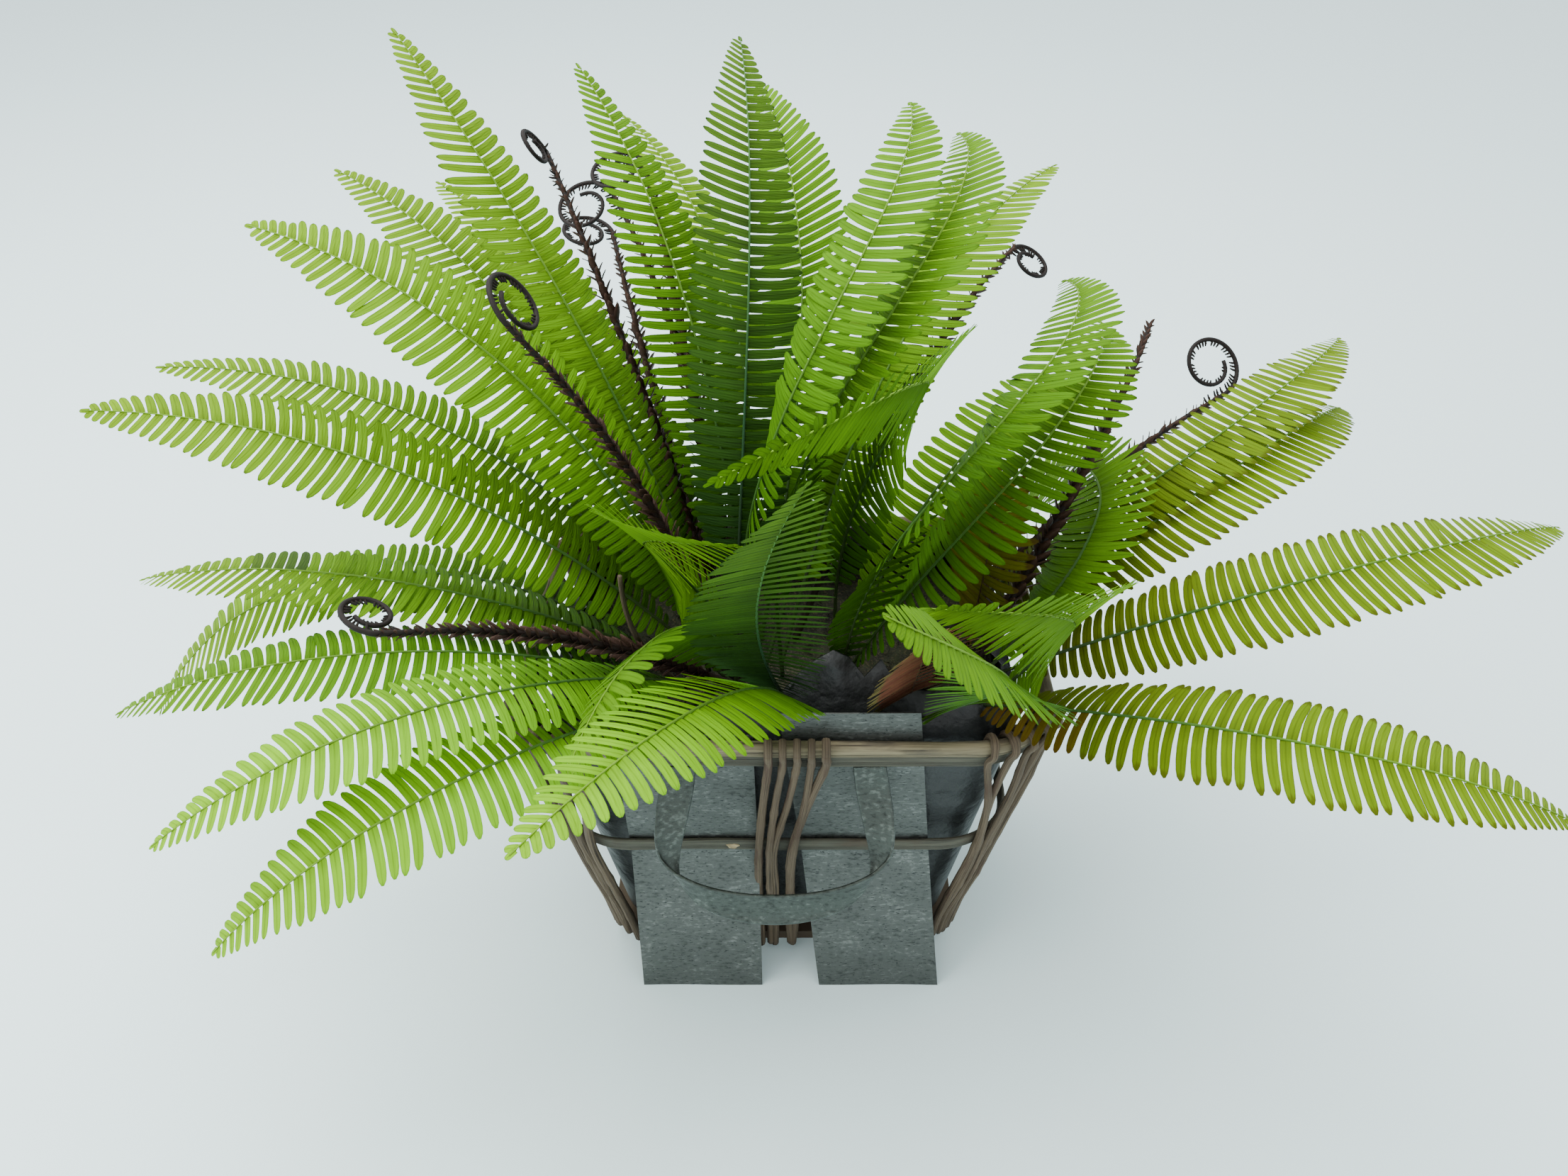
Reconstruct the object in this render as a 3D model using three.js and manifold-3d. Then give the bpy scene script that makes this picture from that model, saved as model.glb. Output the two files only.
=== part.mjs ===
// A bunch of artificial fern fronds standing in a basket of willow rods and zinc plates.
//
// Millimetres, +Z up, +X to the right and +Y to the back as the basket is seen from its front.
// The origin is on the floor, under the middle of the basket.
// The basket is a frame of two flat bands and a round rim rod, with bundles of willow rods
// hooked over the rim and bent zinc plates behind the bands. A plastic liner hangs inside it.
// Foam in the liner carries the stalks of the fronds and of the young coiled shoots (crosiers).

import * as THREE from 'three';
import { mergeVertices } from 'three/addons/utils/BufferGeometryUtils.js';
import Module from 'manifold-3d';

const wasm = await Module();
wasm.setup();

// ---------------------------------------------------------------- driving dimensions

const GAP = 0.3; // clearance between pieces that touch

const RIM_HEIGHT = 244; // floor to the middle of the rim rod
const RIM_HALF_WIDTH = 172; // middle of the basket to the rim rod, along X
const RIM_HALF_DEPTH = 122; // the same along Y
const FOOT_HALF_WIDTH = 135; // the frame line at the floor
const FOOT_HALF_DEPTH = 90;
const CORNER_RADIUS = 48;
const CORNER_SEGMENTS = 6;

const RIM_ROD_RADIUS = 5;
const RIM_ROD_SIDES = 6;
const BAND_HEIGHT = 12;
const BAND_THICKNESS = 3.5;
const BAND_PROUD = 1; // how far the bands' outer face stands outside the frame line
const RIM_BAND_DROP = 12; // middle of the rim band below the middle of the rim rod
const WAIST_HEIGHT = 137; // floor to the middle of the waist band

const ROD_RADIUS = 3; // willow rods
const ROD_SIDES = 5;
const ROD_LEG_STEPS = 5;
const FOOT_CLEAR = 4; // the rods' cut ends above the floor

const PLATE_WIDTH = 88;
const PLATE_THICKNESS = 1;
const PLATE_FOOT_OUT = 36; // how far a plate's foot flares outside the frame line

const STRAP_THICKNESS = 1.6;
const STRAP_HALF_SPAN = 71; // middle of the handle to its outer edge at the rim
const STRAP_WIDTH = 21;
const STRAP_REACH = 46; // how far the handle hangs out in front of the rim
const STRAP_DROP = 72; // rim band down to the top edge of the handle's front
const STRAP_STATIONS = 12; // per half

const BOARD_THICKNESS = 10;
const LINER_INSET = 14; // liner's outer face inside the frame line
const LINER_WALL = 2;
const LINER_TOP_DROP = 8; // liner's edge below the middle of the rim rod
const FOAM_DROP = 31.5; // foam's top below the middle of the rim rod
const STALK_LIFT = 2.5; // middle of the cut stalk above the foam

const BLADE_HALF_WIDTH = 38;
const BUNCH_SCALE = 1; // size of every frond and shoot
const FEET_SPREAD = 1; // how widely the stalks' feet stand on the foam

// ---------------------------------------------------------------- finishes

const ZINC = { color: 0x8f9794, roughness: 0.55, metalness: 0.85 };
const STRAP_ZINC = { color: 0x7a817f, roughness: 0.45, metalness: 0.85 };
const WILLOW = { color: 0x7b6a58, roughness: 0.8, metalness: 0 };
const RIM_WILLOW = { color: 0xa08c6c, roughness: 0.75, metalness: 0 };
const LINER_PLASTIC = { color: 0x17181a, roughness: 0.5, metalness: 0 };
const FOAM = { color: 0x2c2a1e, roughness: 0.95, metalness: 0 };
const LEAF = { color: 0x5f9a2c, roughness: 0.55, metalness: 0 };
const DARK_LEAF = { color: 0x2f5526, roughness: 0.6, metalness: 0 };
const TURNED_LEAF = { color: 0x8a6b2a, roughness: 0.6, metalness: 0 };
const SHOOT = { color: 0x3a2a22, roughness: 0.7, metalness: 0 };

// ---------------------------------------------------------------- solids from points

const object = new THREE.Group();

function addMesh(name, geometry, finish) {
  const mesh = new THREE.Mesh(geometry, new THREE.MeshStandardMaterial(finish));
  mesh.name = name;
  object.add(mesh);
}

function signedVolume(points, faces) {
  let volume = 0;
  for (const [a, b, c] of faces) {
    volume += points[a].dot(new THREE.Vector3().crossVectors(points[b], points[c])) / 6;
  }
  return volume;
}

// Sides split along their other diagonal, so that both faces of a thin twisted blade match.
const LEAF_SPLIT = [1, 3];
const SHEET_SPLIT = [2, 3];

// A closed solid through rings of equal count, either capped at both ends or joined end to start.

function loft(rings, { joined = false, otherWay = [] } = {}) {
  const count = rings[0].length;
  const points = rings.flat();
  const faces = [];
  const spans = joined ? rings.length : rings.length - 1;
  for (let ring = 0; ring < spans; ring += 1) {
    const here = ring * count;
    const next = ((ring + 1) % rings.length) * count;
    for (let i = 0; i < count; i += 1) {
      const j = (i + 1) % count;
      if (otherWay.includes(i)) faces.push([here + i, here + j, next + i], [here + j, next + j, next + i]);
      else faces.push([here + i, here + j, next + j], [here + i, next + j, next + i]);
    }
  }
  if (!joined) {
    const last = (rings.length - 1) * count;
    for (let i = 1; i < count - 1; i += 1) {
      faces.push([0, i + 1, i], [last, last + i, last + i + 1]);
    }
  }
  const inwards = signedVolume(points, faces) < 0;
  const geometry = new THREE.BufferGeometry().setFromPoints(points);
  geometry.setIndex(faces.flatMap(([a, b, c]) => (inwards ? [a, c, b] : [a, b, c])));
  geometry.computeVertexNormals();
  return geometry;
}

function toSolid(geometry) {
  const bare = geometry.clone();
  bare.deleteAttribute('normal');
  bare.deleteAttribute('uv');
  const welded = mergeVertices(bare);
  return new wasm.Manifold(new wasm.Mesh({
    numProp: 3,
    vertProperties: new Float32Array(welded.attributes.position.array),
    triVerts: new Uint32Array(welded.index.array),
  }));
}

function joinSolids(geometries) {
  const whole = geometries.map(toSolid).reduce((sum, piece) => sum.add(piece));
  const mesh = whole.getMesh();
  const geometry = new THREE.BufferGeometry();
  geometry.setAttribute('position', new THREE.BufferAttribute(mesh.vertProperties, 3));
  geometry.setIndex(new THREE.BufferAttribute(mesh.triVerts, 1));
  geometry.computeVertexNormals();
  return geometry;
}

// ---------------------------------------------------------------- the basket's frame line

// The frame line is a rounded rectangle that widens evenly from the floor to the rim.
function frameAt(z) {
  const share = z / RIM_HEIGHT;
  return {
    halfWidth: THREE.MathUtils.lerp(FOOT_HALF_WIDTH, RIM_HALF_WIDTH, share),
    halfDepth: THREE.MathUtils.lerp(FOOT_HALF_DEPTH, RIM_HALF_DEPTH, share),
    corner: CORNER_RADIUS,
  };
}

// A point in one corner: angle 0 faces along X and a right angle faces along Y.
function cornerPoint(signX, signY, angle, z, out) {
  const { halfWidth, halfDepth, corner } = frameAt(z);
  return new THREE.Vector3(
    signX * (halfWidth - corner + (corner + out) * Math.cos(angle)),
    signY * (halfDepth - corner + (corner + out) * Math.sin(angle)),
    z,
  );
}

// A point on the straight front (side -1) or back (side 1).
function facePoint(side, x, z, out) {
  return new THREE.Vector3(x, side * (frameAt(z).halfDepth + out), z);
}

// The whole line as a ring of points, moved out by a distance.
function frameRing(z, out) {
  const quarters = [[1, 1], [-1, 1], [-1, -1], [1, -1]];
  const points = [];
  quarters.forEach(([signX, signY], quarter) => {
    for (let i = 0; i <= CORNER_SEGMENTS; i += 1) {
      const turn = quarter % 2 === 0 ? i / CORNER_SEGMENTS : 1 - i / CORNER_SEGMENTS;
      points.push(cornerPoint(signX, signY, (turn * Math.PI) / 2, z, out));
    }
  });
  return points;
}

// ---------------------------------------------------------------- rim, bands, board, liner, foam

function hoop(section) {
  const stacks = section.map(([z, out]) => frameRing(z, out));
  const rings = stacks[0].map((_, i) => stacks.map((stack) => stack[i]));
  return loft(rings, { joined: true });
}

function bandAt(z) {
  const low = z - BAND_HEIGHT / 2;
  const high = z + BAND_HEIGHT / 2;
  const inner = BAND_PROUD - BAND_THICKNESS;
  return hoop([[low, inner], [low, BAND_PROUD], [high, BAND_PROUD], [high, inner]]);
}

const rimRodSection = Array.from({ length: RIM_ROD_SIDES }, (_, i) => {
  const angle = (2 * Math.PI * i) / RIM_ROD_SIDES;
  return [RIM_HEIGHT + RIM_ROD_RADIUS * Math.sin(angle), RIM_ROD_RADIUS * Math.cos(angle)];
});
addMesh('rim_rod', hoop(rimRodSection), RIM_WILLOW);
addMesh('rim_band', bandAt(RIM_HEIGHT - RIM_BAND_DROP), WILLOW);
addMesh('waist_band', bandAt(WAIST_HEIGHT), WILLOW);

const linerFoot = BOARD_THICKNESS + GAP;
const linerTop = RIM_HEIGHT - LINER_TOP_DROP;
const linerInner = -(LINER_INSET + LINER_WALL);
const foamTop = RIM_HEIGHT - FOAM_DROP;
const foamFoot = linerFoot + LINER_WALL + GAP;

addMesh('base_board', loft([frameRing(0, -6), frameRing(BOARD_THICKNESS, -6)]), WILLOW);
addMesh('liner_pot', loft([
  frameRing(linerFoot, -LINER_INSET),
  frameRing(linerTop, -LINER_INSET),
  frameRing(linerTop, linerInner),
  frameRing(linerFoot + LINER_WALL, linerInner),
]), LINER_PLASTIC);
addMesh('foam_block', loft([
  frameRing(foamFoot, linerInner - GAP),
  frameRing(foamTop, linerInner - GAP),
]), FOAM);

// ---------------------------------------------------------------- willow rods

const rodOut = BAND_PROUD + GAP + ROD_RADIUS; // a rod's middle where it lies on a band
const hookRadius = RIM_ROD_RADIUS + GAP + ROD_RADIUS + 0.6; // its bend round the rim rod
const HOOK_STEP = Math.PI / 8;

function extrudeRod(points, steps) {
  const section = new THREE.Shape();
  for (let i = 0; i < ROD_SIDES; i += 1) {
    const angle = (2 * Math.PI * i) / ROD_SIDES;
    const [x, y] = [ROD_RADIUS * Math.cos(angle), ROD_RADIUS * Math.sin(angle)];
    if (i === 0) section.moveTo(x, y);
    else section.lineTo(x, y);
  }
  const extrudePath = new THREE.CatmullRomCurve3(points, false, 'centripetal');
  return new THREE.ExtrudeGeometry(section, { steps, extrudePath, bevelEnabled: false });
}

// The hook over the rim rod, with a short end hanging inside the rim if there is room for it.
function rodHook(place, endsInside) {
  const points = [];
  if (endsInside) points.push(place('rim', RIM_HEIGHT - RIM_BAND_DROP - BAND_HEIGHT, -hookRadius));
  for (let angle = endsInside ? Math.PI : Math.PI / 2; angle > -0.01; angle -= HOOK_STEP) {
    points.push(place('rim', RIM_HEIGHT + hookRadius * Math.sin(angle), hookRadius * Math.cos(angle)));
  }
  return extrudeRod(points, endsInside ? 7 : 4);
}

// The leg from the hook down over both bands to the foot.
function rodLeg(place) {
  return extrudeRod([
    place('rim', RIM_HEIGHT + 0.5, hookRadius),
    place('rim', RIM_HEIGHT - RIM_BAND_DROP, rodOut + 2),
    place('mid', (RIM_HEIGHT + WAIST_HEIGHT) / 2, rodOut + 1.5),
    place('waist', WAIST_HEIGHT, rodOut + 0.6),
    place('low', WAIST_HEIGHT / 2, 1),
    place('foot', FOOT_CLEAR, 1.5),
  ], ROD_LEG_STEPS);
}

// Rods hooked over the straight front or back, between the plates. They draw together downwards.
const FACE_RODS = 5;
const FACE_RIM_START = -10; // the first rod at the rim, and the step to the next
const FACE_RIM_STEP = 9;
const FACE_WAIST_START = -13;
const FACE_WAIST_STEP = 5.2;

function faceBundle(side) {
  const rods = [];
  for (let i = 0; i < FACE_RODS; i += 1) {
    const rimX = FACE_RIM_START + i * FACE_RIM_STEP;
    const waistX = FACE_WAIST_START + i * FACE_WAIST_STEP;
    const across = { rim: rimX, mid: (rimX + waistX) / 2, waist: waistX, low: waistX, foot: waistX };
    const place = (level, z, out) => facePoint(side, across[level], z, out);
    rods.push(rodHook(place, false), rodLeg(place));
  }
  return joinSolids(rods);
}

// Rods hooked all round a corner of the rim. At the foot they stand close together.
const CORNER_RODS = 5;
const CORNER_RIM_ANGLES = [12, 84]; // degrees round the corner, first and last rod
const CORNER_WAIST_ANGLES = [34, 62];
const CORNER_FOOT_ANGLES = [36, 58];

function cornerBundle(signX, signY) {
  const rods = [];
  for (let i = 0; i < CORNER_RODS; i += 1) {
    const share = i / (CORNER_RODS - 1);
    const turn = ([first, last]) => THREE.MathUtils.degToRad(THREE.MathUtils.lerp(first, last, share));
    const rim = turn(CORNER_RIM_ANGLES);
    const waist = turn(CORNER_WAIST_ANGLES);
    const foot = turn(CORNER_FOOT_ANGLES);
    const angles = { rim, mid: (rim + waist) / 2, waist, low: (waist + foot) / 2, foot };
    const place = (level, z, out) => cornerPoint(signX, signY, angles[level], z, out);
    rods.push(rodHook(place, true), rodLeg(place));
  }
  return joinSolids(rods);
}

addMesh('front_rods', faceBundle(-1), WILLOW);
addMesh('back_rods', faceBundle(1), WILLOW);
addMesh('front_left_rods', cornerBundle(-1, -1), WILLOW);
addMesh('front_right_rods', cornerBundle(1, -1), WILLOW);
addMesh('back_left_rods', cornerBundle(-1, 1), WILLOW);
addMesh('back_right_rods', cornerBundle(1, 1), WILLOW);

// ---------------------------------------------------------------- zinc plates

const plateOut = -(RIM_ROD_RADIUS + GAP); // outer face behind the rim rod, from the frame line
const plateAtWaist = BAND_PROUD - BAND_THICKNESS - GAP;

// How far a plate's outer face stands outside the frame line at each height.
function plateOffset(z) {
  const below = WAIST_HEIGHT - BAND_HEIGHT / 2 - 2;
  const above = WAIST_HEIGHT + BAND_HEIGHT / 2 + 2;
  if (z < below) return THREE.MathUtils.lerp(PLATE_FOOT_OUT, plateAtWaist, z / below);
  if (z < above) return plateAtWaist;
  const share = Math.min(1, (z - above) / (RIM_HEIGHT - RIM_ROD_RADIUS - above));
  return THREE.MathUtils.lerp(plateAtWaist, plateOut, share);
}

// waistX is the plate's middle at the waist, lean how far its foot stands to the right of that.
function plate(side, waistX, lean, top) {
  const below = WAIST_HEIGHT - BAND_HEIGHT / 2 - 2;
  const above = WAIST_HEIGHT + BAND_HEIGHT / 2 + 2;
  const under = RIM_HEIGHT - RIM_ROD_RADIUS;
  const heights = [0, below / 2, below, above, (above + under) / 2, under, top];
  return loft(heights.map((z) => {
    const middle = waistX + lean * (1 - z / WAIST_HEIGHT);
    const outer = frameAt(Math.min(z, RIM_HEIGHT)).halfDepth + plateOffset(z);
    const corner = (shiftX, inset) => new THREE.Vector3(middle + shiftX, side * (outer - inset), z);
    const half = PLATE_WIDTH / 2;
    const inner = PLATE_THICKNESS;
    return [corner(-half, 0), corner(half, 0), corner(half, inner), corner(-half, inner)];
  }), { otherWay: SHEET_SPLIT });
}

const PLATES = [
  { name: 'front_left_plate', side: -1, waistX: -62, lean: 2, top: RIM_HEIGHT + 6 },
  { name: 'front_right_plate', side: -1, waistX: 55, lean: 15, top: RIM_HEIGHT + 25 },
  { name: 'back_left_plate', side: 1, waistX: -62, lean: -4, top: RIM_HEIGHT + 4 },
  { name: 'back_right_plate', side: 1, waistX: 56, lean: 6, top: RIM_HEIGHT + 6 },
];
PLATES.forEach(({ name, side, waistX, lean, top }) => addMesh(name, plate(side, waistX, lean, top), ZINC));

// ---------------------------------------------------------------- handles

const HANDLE_MIDDLE = -6; // a little left of the basket's middle

// Half of a handle from the rim to its front. The strap hangs flat on the plate at the rim and
// turns over as it comes round, so its outer edge at the rim becomes its top edge at the front.
function handle(side) {
  const rimFace = RIM_HALF_DEPTH + 0.6;
  const behindBand = rimFace - BAND_THICKNESS - 1.6;
  const start = RIM_HEIGHT - RIM_BAND_DROP - BAND_HEIGHT / 2 - GAP;
  const span = STRAP_HALF_SPAN;
  const width = STRAP_WIDTH;
  const edge = (x, out, down) => new THREE.Vector3(x, behindBand + out, start - down);
  const outerEdge = new THREE.CatmullRomCurve3([
    edge(span, 1.5, 0), edge(span + 3, 8, 16), edge(span + 6, 22, 36), edge(span + 3, 33, 52),
    edge(span * 0.8, STRAP_REACH - 5, 62), edge(span * 0.45, STRAP_REACH - 1, 69),
    edge(0, STRAP_REACH, STRAP_DROP), edge(-span * 0.45, STRAP_REACH - 1, 69),
  ]);
  const innerEdge = new THREE.CatmullRomCurve3([
    edge(span - width, 1.5, 1), edge(span - width + 2, 8, 17), edge(span - width + 8, 20, 42),
    edge(span - width + 12, 32, 68), edge(span * 0.72, STRAP_REACH - 3, 83),
    edge(span * 0.42, STRAP_REACH + 4, 91), edge(0, STRAP_REACH + 6, STRAP_DROP + 23),
    edge(-span * 0.42, STRAP_REACH + 4, 91),
  ]);
  const halfShare = 6 / 7; // the last span only carries the curve past the middle
  const rings = [];
  for (let i = 0; i <= STRAP_STATIONS; i += 1) {
    const t = (halfShare * i) / STRAP_STATIONS;
    const outer = outerEdge.getPoint(t);
    const inner = innerEdge.getPoint(t);
    const along = outerEdge.getTangent(t).add(innerEdge.getTangent(t));
    const across = new THREE.Vector3().subVectors(inner, outer);
    const lift = new THREE.Vector3().crossVectors(along, across).setLength(STRAP_THICKNESS / 2);
    rings.push([
      outer.clone().add(lift), inner.clone().add(lift), inner.clone().sub(lift), outer.clone().sub(lift),
    ]);
  }
  const mirrored = rings.slice(0, -1).reverse().map(([a, b, c, d]) => (
    [a, b, c, d].map((point) => new THREE.Vector3(-point.x, point.y, point.z))
  ));
  const placed = [...rings, ...mirrored].map((ring) => ring.map((point) => (
    new THREE.Vector3(HANDLE_MIDDLE + point.x, side * point.y, point.z)
  )));
  return loft(placed, { otherWay: SHEET_SPLIT });
}

addMesh('front_handle', handle(-1), STRAP_ZINC);
addMesh('back_handle', handle(1), STRAP_ZINC);

// ---------------------------------------------------------------- fronds and shoots

const stalkHeight = foamTop + STALK_LIFT;
const SPINE_STEPS = 48;
const DROOP_POWER = 1.4; // the stalk bends slowly at first, then faster towards the tip

// Directions along, across and up from the blade at a share of the way to the tip.
function bladeAxes({ heading, turn, rise, droop, roll = 0, twist = 0 }, share) {
  const slope = THREE.MathUtils.degToRad(rise - droop * share ** DROOP_POWER);
  const compass = THREE.MathUtils.degToRad(heading + turn * share);
  const along = new THREE.Vector3(
    Math.cos(slope) * Math.cos(compass),
    Math.cos(slope) * Math.sin(compass),
    Math.sin(slope),
  );
  const across = new THREE.Vector3(Math.sin(compass), -Math.cos(compass), 0);
  const tilt = -THREE.MathUtils.degToRad(roll + twist * share);
  across.applyAxisAngle(along, tilt);
  return { along, across, up: new THREE.Vector3().crossVectors(across, along) };
}

// The stalk's middle line, from its cut foot to its tip.
function spine(shape) {
  const points = [new THREE.Vector3(shape.x * FEET_SPREAD, shape.y * FEET_SPREAD, stalkHeight)];
  for (let i = 0; i < SPINE_STEPS; i += 1) {
    const { along } = bladeAxes(shape, (i + 0.5) / SPINE_STEPS);
    const step = (shape.length * BUNCH_SCALE) / SPINE_STEPS;
    points.push(points[i].clone().addScaledVector(along, step));
  }
  return points;
}

// Step along the spine, share of the blade's half width, and half the thickness at the rib.
const BLADE_OUTLINE = [
  [0, 0.055, 1.6], [5, 0.055, 1.5], [8, 0.37, 1.4], [12, 0.76, 1.3], [17, 0.95, 1.2], [23, 1, 1.1],
  [29, 0.98, 1], [35, 0.85, 0.9], [39, 0.67, 0.8], [43, 0.41, 0.7], [46, 0.21, 0.6], [48, 0.05, 0.5],
];
const BLADE_SAG = 0.12; // the leaflets' tips hang below the rib by this share of their length

function frond(shape) {
  const line = spine(shape);
  return loft(BLADE_OUTLINE.map(([step, width, thickness]) => {
    const { across, up } = bladeAxes(shape, step / SPINE_STEPS);
    const half = width * BLADE_HALF_WIDTH * BUNCH_SCALE;
    const at = (side, lift) => (
      line[step].clone().addScaledVector(across, side * half).addScaledVector(up, lift)
    );
    return [at(-1, -BLADE_SAG * half), at(0, thickness), at(1, -BLADE_SAG * half), at(0, -thickness)];
  }), { otherWay: LEAF_SPLIT });
}

const COIL_STEPS = 16;
const COIL_TURNS = 1.25;
const COIL_SHRINK = 0.5; // how much smaller the coil's end is than its start
const SHOOT_RADII = [3, 1.6]; // at the foot and at the coil's end
const SHOOT_SIDES = 4;
const STEM_RINGS = 6;
const SIGHT_SLOPE = THREE.MathUtils.degToRad(38); // coils face a little above the horizontal

// A coil that carries on from the stem's tip, turning towards one side and tipped by an angle.
function coilPoints(start, along, { radius, side, tip }) {
  const facing = new THREE.Vector3(0, Math.cos(SIGHT_SLOPE), -Math.sin(SIGHT_SLOPE));
  const towards = new THREE.Vector3().crossVectors(along, facing).setLength(side);
  towards.applyAxisAngle(along, THREE.MathUtils.degToRad(tip));
  const points = [start];
  const step = (2 * Math.PI * COIL_TURNS) / COIL_STEPS;
  for (let i = 0; i < COIL_STEPS; i += 1) {
    const bend = (i + 0.5) * step;
    const reach = radius * BUNCH_SCALE * (1 - (COIL_SHRINK * (i + 0.5)) / COIL_STEPS) * step;
    points.push(points[i].clone()
      .addScaledVector(along, reach * Math.cos(bend))
      .addScaledVector(towards, reach * Math.sin(bend)));
  }
  return points.slice(1);
}

function shoot(shape) {
  const line = spine(shape);
  const stride = SPINE_STEPS / STEM_RINGS;
  const points = line.filter((_, i) => i % stride === 0);
  if (shape.coil) points.push(...coilPoints(line[SPINE_STEPS], bladeAxes(shape, 1).along, shape.coil));
  const normal = bladeAxes(shape, 0).across.clone();
  return loft(points.map((point, i) => {
    const before = points[Math.max(0, i - 1)];
    const after = points[Math.min(points.length - 1, i + 1)];
    const along = new THREE.Vector3().subVectors(after, before).normalize();
    normal.addScaledVector(along, -normal.dot(along)).normalize();
    const other = new THREE.Vector3().crossVectors(along, normal);
    const radius = THREE.MathUtils.lerp(...SHOOT_RADII, i / (points.length - 1));
    return Array.from({ length: SHOOT_SIDES }, (_, side) => {
      const angle = (2 * Math.PI * side) / SHOOT_SIDES;
      return point.clone()
        .addScaledVector(normal, radius * Math.cos(angle))
        .addScaledVector(other, radius * Math.sin(angle));
    });
  }));
}

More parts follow.
